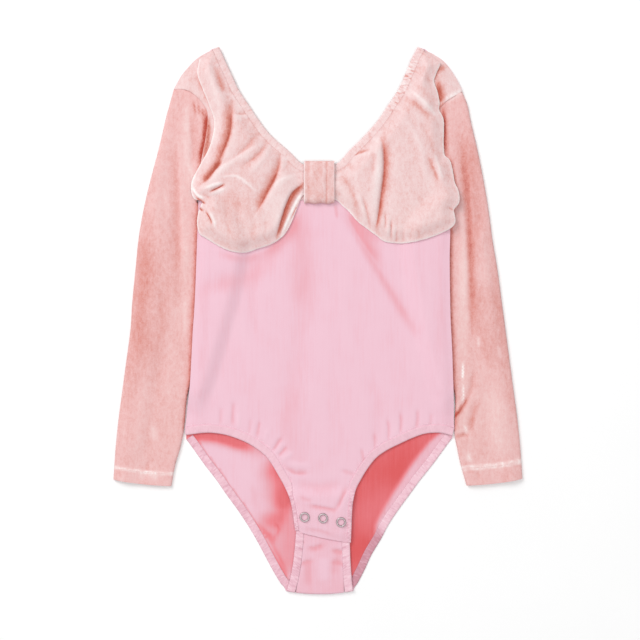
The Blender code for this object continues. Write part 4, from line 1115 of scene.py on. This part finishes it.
def ribbed(node_name, path, width, place, thick, finish, puckers):
    """A bound edge, rounded at its rim and puckered, to the right of its path (minus: left)."""
    lengths = np.concatenate(([0.0], np.cumsum(np.linalg.norm(np.diff(path, axis=0), axis=1))))
    widths = np.broadcast_to(width, len(path))
    gather = Gathers(puckers.seed, puckers.pitch, 1.0, PUCKER_REACH)
    tops, bottoms, shades = [], [], []
    for share in np.linspace(0.0, 1.0, BINDING_COLUMNS):
        bend = rounded(share / RIM_SHARE)
        across = share * np.abs(widths)
        outer, inner = (gathers(across, lengths, gather, row) for row in (0, 1))
        wave = mix(outer, inner, smoothstep((share - ROW_CHANGE) / ROW_CHANGE_WIDTH))
        wave = np.clip(wave, -1.0, 1.0) * puckers.strength
        half = 0.5 * thick * mix(RIM_THIN, 1.0, bend) + 0.5 * puckers.height * wave * bend
        base, up = place(sideways(path, widths * share))
        tops.append(base + up * (0.5 * thick + half)[:, None])
        bottoms.append(base + up * (0.5 * thick - half)[:, None])
        # The puckers painted on: shade in their dips and highlight on their ridges
        shades.append(puckers.contrast * wave + puckers.tone)
    rings = [np.vstack([top[i] for top in tops] + [low[i] for low in bottoms[::-1]])
             for i in range(len(path))]
    return loft(f"{node_name}_roll", rings, finish, np.column_stack(shades + shades[::-1]), [node_name])


def on_front(points):
    """Points of the flat cut on the underside of the front, and the way its cloth faces."""
    return np.column_stack((points, front_height(points))), np.array((0.0, 0.0, 1.0))


def on_floor(points):
    """Points on the floor, and the way cloth that lies there faces."""
    return np.column_stack((points, np.zeros(len(points)))), np.array((0.0, 0.0, 1.0))


def on_back(points):
    """Points of the flat cut folded up with the crotch, and the way the cloth faces there."""
    turn = np.clip((fold_line(points[:, 0]) - points[:, 1]) / FOLD_RADIUS, 0.0, pi)
    return fold_up(points), np.column_stack((np.zeros(len(points)), np.sin(turn), np.cos(turn)))


def make_bindings(pile, binding):
    """The bound edges, as lists of those on the yoke, on the front and on the back."""
    neck = smooth(NECKLINE, RIB_STEP)
    tight = mix(NECK_LOOSE, 1.0, smoothstep((neck[:, 0] - NECK_TIGHT_X) / NECK_TIGHT_FADE)
                * smoothstep((NECK_TOP_Y - neck[:, 1]) / NECK_TOP_FADE))
    front_neck = ribbed("neck_binding_front", neck, NECK_BINDING_WIDTH, on_front, NECK_BINDING_THICK,
                        pile, Puckers(1.5, 0.6, 0.65, 0.08, tight, 5))
    back_neck = ribbed("neck_binding_back", smooth(BACK_NECKLINE, RIB_STEP), NECK_BINDING_WIDTH,
                       on_floor, JERSEY, binding, Puckers(3.0, 0.15, 0.2, 0.0, 1.0, 6))
    fronts, backs = [], []
    for side, sign in SIGNS.items():
        edge = smooth(FRONT_LEGS[side], RIB_STEP)
        flap = flap_part(edge)
        puckers = Puckers(1.5, 0.3, 0.5, mix(FRONT_RIB_TONE, FLAP_RIB_TONE, flap),
                          mix(FRONT_RIB_STRENGTH, 1.0, flap), 7)
        fronts.append(ribbed(f"leg_binding_front_{side}", edge, sign * front_binding_width(edge),
                             on_front, LEG_BINDING_THICK, binding, puckers))
        back = back_leg(side, RIB_STEP)
        past = fold_line(back[:, 0]) - back[:, 1]
        binding_shade = smoothstep((BINDING_SHADE_Y - back[:, 1]) / BINDING_SHADE_FADE) * smoothstep(-past / BINDING_SHADE_END)
        puckers = Puckers(1.4, 0.2, 0.5, BACK_RIB_TONE if side == "left" else BINDING_SHADED * binding_shade,
                          mix(BACK_RIB_STRENGTH, 1.0, smoothstep(past / BACK_RIB_CHANGE)), 8)
        backs.append(ribbed(f"leg_binding_back_{side}", back, sign * LEG_BINDING_WIDTH, on_back,
                            JERSEY, binding, puckers))
    return [front_neck], fronts, [back_neck, *backs]


def sleeve_surfaces(flat, side):
    """Top and underside of a flattened sleeve, and its creases."""
    extra = SIDES.index(side)
    inner = distance_to(SLEEVE_INNER[side], flat)
    edge = np.minimum(distance_to(SLEEVE_OUTER[side], flat), inner)
    edge[edge < WELD] = 0.0
    bend = rounded(edge / SLEEVE_EDGE_RADIUS)
    seam, along, _ = trace(ARMHOLES[side], flat)
    cuff = distance_to(CUFFS[side], flat)
    free = smoothstep((np.minimum(inner, seam) - CROWN_START) / CROWN_SLOPE)
    folds = creases(SLEEVE_CREASES, flat) + ripple(flat, SLEEVE_RIPPLE)
    folds += gathers(seam, along, SLEEVE_HEAD_GATHERS, extra)
    folds += gathers(cuff, flat[:, 0], CUFF_GATHERS, extra)
    folds = np.clip(folds, SLEEVE_DEEPEST, SLEEVE_HIGHEST)
    folds = np.minimum(folds, 0.0) + free * np.maximum(folds, 0.0)
    hem = HEM_HEIGHT * smoothstep((HEMS[side].depth + HEM_EDGE - cuff) / (2 * HEM_EDGE))
    inset = smoothstep(edge / CREASE_START)
    half = SLEEVE_THICK / 2
    top = half + half * bend + (SLEEVE_CROWN * free + folds + hem) * inset
    low = half - half * bend + 0.5 * np.maximum(-folds, 0.0) * inset * free
    return top, low, folds


def sleeve_wear_and_shade(flat, side):
    """Painted shade and highlight with rubbed streaks, the hem's light line of rubbed pile and painted
    highlight, and the painted shade beside the body.
    """
    hem = HEMS[side]
    cuff = distance_to(CUFFS[side], flat)
    strip = (smoothstep((hem.depth + HEM_EDGE - cuff) / HEM_TONE_FADE)
             * smoothstep((cuff - hem.depth + hem.width + HEM_EDGE) / HEM_TONE_FADE))
    tone = creases(SLEEVE_SHADES, flat) + (HEM_TONE + ripple(flat, HEM_RIPPLE)) * strip
    tone += HEM_LINE_TONE * bell(cuff - hem.depth, HEM_LINE_WIDTH)
    return tone - BODY_SHADE * bell(distance_to(SIDE_EDGES[side], flat), BODY_SHADE_WIDTH)


def make_sleeve(side, finish):
    """A flattened tube, open at the armhole and the cuff: two layers joined along the folds."""
    name = f"sleeve_{side}"
    outer, inner = SLEEVE_OUTER[side], SLEEVE_INNER[side]
    outline = np.vstack((ARMHOLES[side][:-1], inner[:-1], CUFFS[side][:0:-1], outer[:0:-1]))
    rows = np.vstack([evenly(sideways(edge, turn * SIGNS[side] * distance), SLEEVE_NET)
                      for edge, turn in ((outer, 1.0), (inner, -1.0)) for distance in SLEEVE_EDGE_ROWS])
    flat, faces = fill(outline, SLEEVE_NET, rows)
    top, low, folds = sleeve_surfaces(flat, side)
    points = np.vstack((np.column_stack((flat, top)), np.column_stack((flat, low))))
    lower = [tuple(index + len(flat) for index in reversed(face)) for face in faces]
    mesh = mesh_of(f"{name}_cloth", points, faces + lower)
    # Relief painted on as shade in troughs and highlight on ridges, with the sleeve's wear and painted shade
    set_shade(mesh, CONTRAST[name] * relief(mesh, np.tile(folds, 2)) + np.tile(sleeve_wear_and_shade(flat, side), 2))
    rework(mesh, lambda bm: bmesh.ops.remove_doubles(bm, verts=bm.verts, dist=WELD * MM))
    piece = new_piece(f"{name}_cloth", mesh, finish, [name])
    thicken(piece, -VELVET)


def lobe_outline(side):
    """A lobe's outline: the neck edge, the middle under the band, and its free edges."""
    neck = sideways(smooth(NECKLINE, LOBE_EDGE_STEP), NECK_BINDING_WIDTH + SEWN_GAP)
    free = smooth(LOBES[side], LOBE_EDGE_STEP)
    beside = neck[SIGNS[side] * (neck[:, 0] - free[0][0]) > LOBE_CORNER_CLEAR]
    beside = beside[1:] if side == "left" else beside[-2::-1]
    centre = np.array([(free[0][0], np.interp(free[0][0], neck[:, 0], neck[:, 1]))])
    middle = evenly(np.vstack((centre, free[:1])), LOBE_EDGE_STEP)[1:-1]
    return np.vstack((beside, centre, middle, free)), free


def make_lobe(side, finish):
    """One puffed, gathered half of the bow, lying on the yoke and the front."""
    extra = SIDES.index(side)
    outline, free = lobe_outline(side)
    flat, faces = fill(outline, LOBE_NET)
    rim, along, _ = trace(free, flat)
    neck, neck_along, _ = trace(NECK_EDGE, flat)
    neck -= NECK_BINDING_WIDTH
    reach = np.abs(flat[:, 0] - BAND_MIDDLE) - BAND_HALF
    spread = smoothstep(reach / LOBE_SPREAD)
    rise = smoothstep(edge_distance(outline, flat) / LOBE_SLOPE)
    tight = smoothstep((flat[:, 0] - LOBE_TIGHT_X) / LOBE_TIGHT_FADE)
    folds = creases(LOBE_CREASES, flat, CREASE_POWER) + ripple(flat, LOBE_RIPPLE)
    folds += gathers(neck, neck_along, LOBE_NECK_GATHERS, extra)
    folds += gathers(neck, neck_along, LOBE_TIGHT_GATHERS) * tight
    folds += gathers(np.maximum(reach, 0.0), flat[:, 1], LOBE_BAND_GATHERS, extra)
    folds += gathers(rim, along, LOBE_RIM_GATHERS, extra)
    bend = rounded(rim / LOBE_EDGE_RADIUS)
    puff = mix(LOBE_PINCH, LOBE_PUFF, spread) * rise + LOBE_EDGE * bend * spread
    shaped = puff + np.maximum(rise, LOBE_RIM_FOLDS * bend) * mix(LOBE_BAND_FOLDS, 1.0, spread) * folds
    below = front_height(flat, seams=False) + VELVET + LOBE_GAP
    # Painted shade and highlight in the folds, a painted highlight on the rim and painted shade along the
    # neck
    tone = creases(LOBE_SHADES, flat, CREASE_POWER) + LOBE_RIM_HIGHLIGHT * bell(rim, LOBE_RIM_WIDTH)
    tone -= LOBE_NECK_SHADE * bell(neck, LOBE_NECK_WIDTH)
    points = np.column_stack((flat, below + np.maximum(shaped, 0.0)))
    piece = cloth(f"bow_lobe_{side}", points, faces, VELVET, finish, folds, tone, LOBE_PASSES)


def make_band(finish):
    """The band round the middle of the bow, hooked over the neck edge."""
    profile = smooth(BAND_PROFILE, BAND_NET)
    columns = np.arange(BAND_LEFT, BAND_RIGHT + 0.1, BAND_NET)
    low, high = profile[:, 1].min(), profile[:, 1].max()
    x = np.tile(columns, len(profile))
    y, z = np.repeat(profile, len(columns), axis=0).T
    crown = BAND_CROWN * (1.0 - ((x - BAND_MIDDLE) / BAND_HALF) ** 2)
    folds = ripple(np.column_stack((x, BAND_STRETCH * y)), BAND_RIPPLE)
    for place, depth, width in BAND_GROOVES:
        folds -= depth * bell(x - place, width)
    lip = BAND_LIP * np.sin(x * BAND_LIP_WAVE) * smoothstep((BAND_LIP_Y - y) / BAND_LIP_FADE)
    points = np.column_stack((x, y + lip, z + (crown + folds) * smoothstep((z - low) / (high - low))))
    faces = [face[::-1] for face in quads(len(profile), len(columns), columns_close=False)]
    # The band a little darker all over, with a painted highlight along its edges
    edge = np.minimum(x - BAND_LEFT, BAND_RIGHT - x)
    piece = cloth("bow_band", points, faces, BAND_WALL, finish, folds,
                  BAND_TONE + BAND_EDGE_HIGHLIGHT * bell(edge, BAND_EDGE_WIDTH))


def make_snaps(finish):
    """Three pronged ring caps, each a turned ring with a groove and an inner lip."""
    made = []
    for number, (centre_x, centre_y) in enumerate(SNAPS, start=1):
        node_name = f"snap_ring_{number}"
        node_low, node_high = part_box(node_name)
        stretch = SNAP_STRETCH * (node_high.z - node_low.z) / (2 * SNAP_RING_TUBE)
        points = [(centre_x + (SNAP_RING_RADIUS + across) * np.cos(turn),
                   centre_y + (SNAP_RING_RADIUS + across) * np.sin(turn),
                   (node_low.z + stretch * up) / MM)
                  for turn in np.linspace(0.0, tau, SNAP_STEPS, endpoint=False)
                  for across, up in SNAP_PROFILE]
        faces = quads(SNAP_STEPS, len(SNAP_PROFILE), rows_close=True)
        mesh = closed_mesh(f"{node_name}_metal", points, faces)
        made.append(new_piece(f"{node_name}_metal", mesh, finish, [node_name]))
        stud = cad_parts[f"snap_stud_{number}"]
        stud.data.materials.clear()
        stud.data.materials.append(finish)
    return made


def stitches(name, path, heights, finish, stitch):
    """A row of thread stitches along a path, each a small rounded bar lying on the cloth."""
    path = evenly(path, stitch.pitch)
    path = np.column_stack((path, heights(path)))
    ring = np.linspace(0.0, tau, STITCH_SIDES, endpoint=False)
    points, faces = [], []
    for start, end in zip(path[:-1], path[1:]):
        run = (end - start) / np.linalg.norm(end - start)
        across = np.array((-run[1], run[0], 0.0))
        across /= np.linalg.norm(across)
        up = np.cross(run, across)
        centre = (start + end) / 2 + (0.0, 0.0, STITCH_RISE * stitch.radius)
        faces += tube(len(STITCH_STATIONS), STITCH_SIDES, len(points))
        points += [centre + along * stitch.length * run
                   + stitch.radius * fat * (np.cos(turn) * across + np.sin(turn) * up)
                   for along, fat in STITCH_STATIONS for turn in ring]
    mesh = closed_mesh(name, points, faces)
    set_shade(mesh, np.full(len(points), STITCH_TONE))
    return new_piece(name, mesh, finish, [])


def make_stitches(sleeve, binding):
    """The hem stitches by side, and a list of those beside the leg bindings."""
    cuffs, legs = {}, []
    for side, sign in SIGNS.items():
        hem = sideways(CUFFS[side], sign * (HEMS[side].depth - 0.5 * HEMS[side].width))
        hem = evenly(hem, 1.0)[CUFF_STITCH_ENDS]
        cuffs[side] = stitches(f"cuff_stitches_{side}", hem,
                               lambda path, side=side: sleeve_surfaces(path, side)[0], sleeve, CUFF_STITCH)
        edge = smooth(FRONT_LEGS[side], 1.0)
        seam = sideways(edge, sign * (front_binding_width(edge) + LEG_STITCH_PLACE))[LEG_STITCH_ENDS]
        legs.append(stitches(f"leg_stitches_{side}", seam, lambda path: front_height(path) + JERSEY,
                             binding, LEG_STITCH))
    return cuffs, legs


def linear(colour):
    """A display colour, 0 to 255, as the linear values that shaders take."""
    c = np.array(colour) / 255
    return (*np.where(c <= 0.04045, c / 12.92, ((c + 0.055) / 1.055) ** 2.4), 1.0)


def node(tree, kind, *values, **options):
    """Add a node: values go to its inputs in order, options to its settings or inputs by name."""
    made = tree.nodes.new(f"ShaderNode{kind}")
    for key, value in options.items():
        if key[0].islower():
            setattr(made, key, value)
        else:
            feed(tree, made.inputs[key.replace("_", " ")], value)
    for socket, value in zip(made.inputs, values):
        feed(tree, socket, value)
    return made


def feed(tree, socket, value):
    """Link a socket to an input, or set it."""
    if isinstance(value, bpy.types.NodeSocket):
        tree.links.new(value, socket)
    elif value is not None:
        socket.default_value = value


def calculate(tree, operation, a, b=None):
    """A sum or the like of two inputs."""
    return node(tree, "Math", a, b, operation=operation).outputs[0]


def noise(tree, where, stretch, scale, detail):
    """Noise between 0 and 1 over millimetres, stretched along the axes."""
    placed = node(tree, "Mapping", where, Scale=stretch).outputs[0]
    return node(tree, "TexNoise", Vector=placed, Scale=scale, Detail=detail).outputs["Fac"]


def new_finish(name, sockets):
    """A material, its node tree, its surface shader with sockets set, and coordinates in mm."""
    material = bpy.data.materials.new(f"{name}_finish")
    material.use_nodes = True
    tree = material.node_tree
    surface = tree.nodes["Principled BSDF"]
    for socket, value in sockets.items():
        surface.inputs[socket].default_value = value
    place = node(tree, "TexCoord").outputs["Object"]
    where = node(tree, "Mapping", place, Scale=(1 / MM,) * 3).outputs[0]
    return material, tree, surface, where


def toned(tree, surface, stops, weighted):
    """Colour a surface by its stored shade plus weighted noises, through a ramp of tones."""
    shade = node(tree, "Attribute", attribute_name="shade").outputs["Fac"]
    total = calculate(tree, "MULTIPLY", shade, 0.5)
    for value, weight in weighted:
        centred = calculate(tree, "SUBTRACT", value, 0.5)
        total = calculate(tree, "ADD", total, calculate(tree, "MULTIPLY", centred, weight))
    ramp = node(tree, "ValToRGB", calculate(tree, "ADD", total, 0.5))
    elements = ramp.color_ramp.elements
    while len(elements) < len(stops):
        elements.new(0.5)
    for element, (position, colour) in zip(elements, stops):
        element.position = position
        element.color = linear(colour)
    tree.links.new(ramp.outputs[0], surface.inputs["Base Color"])


def bumped(tree, surface, layers):
    """Stack bumps, each a height with its strength and its depth in mm."""
    normal = None
    for height, strength, depth in layers:
        normal = node(tree, "Bump", Height=height, Strength=strength, Distance=depth * MM,
                      Normal=normal).outputs[0]
    tree.links.new(normal, surface.inputs["Normal"])


def velvet(name, stops, streak, sheen_tint):
    """Pile cloth: brushed patches, streaks along the cloth, a fine nap and a soft sheen."""
    material, tree, surface, where = new_finish(name, {
        "Roughness": 0.82, "Sheen Weight": 0.25, "Sheen Roughness": 0.3,
        "Sheen Tint": linear(sheen_tint), "Specular IOR Level": 0.25})
    patches = noise(tree, where, (1.0, 0.6, 1.0), 0.055, 4.0)
    crush = noise(tree, where, (1.0, 0.55, 1.0), 0.32, 5.0)
    streaks = noise(tree, where, streak, 0.55, 4.0)
    nap = noise(tree, where, (1.0, 0.7, 1.0), 0.9, 5.0)
    pile = noise(tree, where, EVEN, 3.2, 3.0)
    toned(tree, surface, stops, ((patches, 0.09), (streaks, 0.1), (crush, 0.3), (nap, 0.3), (pile, 0.1)))
    bumped(tree, surface, ((nap, 0.3, 0.3), (pile, 0.5, 0.12)))
    return material


def jersey(name, stops, sheen_tint):
    """Fine knit: wales up the cloth, courses across it and a faint unevenness."""
    material, tree, surface, where = new_finish(name, {
        "Roughness": 0.88, "Sheen Weight": 0.18, "Sheen Roughness": 0.5,
        "Sheen Tint": linear(sheen_tint), "Specular IOR Level": 0.2})
    axes = node(tree, "SeparateXYZ", where).outputs
    wales = calculate(tree, "SINE", calculate(tree, "MULTIPLY", axes["X"], tau / WALE))
    courses = calculate(tree, "SINE", calculate(tree, "MULTIPLY", axes["Y"], tau / COURSE))
    knit = calculate(tree, "ADD", wales, calculate(tree, "MULTIPLY", courses, 0.5))
    streaks = noise(tree, where, (1.0, 0.06, 1.0), 0.5, 4.0)
    cloud = noise(tree, where, EVEN, 0.05, 3.0)
    fuzz = noise(tree, where, EVEN, 1.6, 4.0)
    toned(tree, surface, stops, ((streaks, 0.1), (cloud, 0.06), (fuzz, 0.07)))
    bumped(tree, surface, ((knit, 0.35, 0.08), (fuzz, 0.3, 0.12), (streaks, 0.15, 0.3)))
    return material


def elastic(name, stops):
    """Binding: a tight rib with a dull thread finish."""
    material, tree, surface, where = new_finish(name, {
        "Roughness": 0.8, "Sheen Weight": 0.2, "Specular IOR Level": 0.25})
    threads = noise(tree, where, EVEN, 1.4, 5.0)
    cloud = noise(tree, where, EVEN, 0.12, 2.0)
    toned(tree, surface, stops, ((threads, 0.2), (cloud, 0.12)))
    bumped(tree, surface, ((threads, 0.5, 0.2),))
    return material


def nickel(name, colour):
    """Plated metal with a faint brushing."""
    material, tree, surface, where = new_finish(name, {"Metallic": 1.0, "Base Color": linear(colour)})
    brushing = noise(tree, where, (1.0, 1.0, 4.0), 3.0, 2.0)
    rough = node(tree, "MapRange", brushing, 0.0, 1.0, 0.2, 0.42).outputs[0]
    tree.links.new(rough, surface.inputs["Roughness"])
    bumped(tree, surface, ((brushing, 0.15, 0.05),))
    return material


def make_camera():
    """A camera straight over the garment."""
    camera = link("camera", bpy.data.cameras.new("camera"))
    camera.data.lens = LENS
    camera.location = (VIEW_X * MM, VIEW_Y * MM, VIEW_Z * MM)
    bpy.context.scene.camera = camera
    bpy.context.scene.view_settings.view_transform = "Standard"


def make_floor():
    """The pale paper that the garment lies on."""
    corners = [(x * FLOOR_HALF, y * FLOOR_HALF, FLOOR_Z) for x, y in ((-1, -1), (1, -1), (1, 1), (-1, 1))]
    material, tree, surface, where = new_finish("floor_paper", {"Roughness": 0.9})
    ramp = node(tree, "ValToRGB", noise(tree, where, EVEN, 0.01, 2.0))
    for element, level in zip(ramp.color_ramp.elements, FLOOR_TONES):
        element.color = (level, level, level, 1.0)
    tree.links.new(ramp.outputs[0], surface.inputs["Base Color"])
    mesh = mesh_of("floor", corners, [(0, 1, 2, 3)])
    mesh.materials.append(material)
    link("floor", mesh)


def make_lights():
    """Two soft lamps that face the garment, and an even light all round."""
    for name, place, size, power in LAMPS:
        lamp = bpy.data.lights.new(name, "AREA")
        lamp.shape = "SQUARE"
        lamp.size = size
        lamp.energy = power
        holder = link(name, lamp)
        holder.location = place
        holder.rotation_euler = (-Vector(place)).to_track_quat("-Z", "Y").to_euler()
    world = bpy.data.worlds.new("studio")
    bpy.context.scene.world = world
    world.use_nodes = True
    background = world.node_tree.nodes["Background"]
    background.inputs["Color"].default_value = (1.0, 1.0, 1.0, 1.0)
    background.inputs["Strength"].default_value = WORLD_LIGHT


def main():
    """Camera, floor and lights first, then the bound edges and trims, then the cloth they go with."""
    make_camera()
    make_floor()
    make_lights()
    sleeve = velvet("salmon_velvet", SLEEVE_STOPS, (1.0, 0.07, 1.0), (255, 226, 218))
    bow = velvet("peach_velvet", BOW_STOPS, (1.0, 0.25, 1.0), (255, 236, 230))
    body = jersey("pink_jersey", JERSEY_STOPS, (255, 225, 232))
    binding = elastic("elastic_binding", ELASTIC_STOPS)
    metal = nickel("snap_metal", (178, 168, 169))
    neck_trim, front_trim, back_trim = make_bindings(bow, binding)
    cuff_stitches, leg_stitches = make_stitches(sleeve, binding)
    rings = make_snaps(metal)
    make_back(body)
    make_front(body)
    make_yoke(bow)
    for side in SIDES:
        make_sleeve(side, sleeve)
    for side in SIDES:
        make_lobe(side, bow)
    make_band(bow)


main()
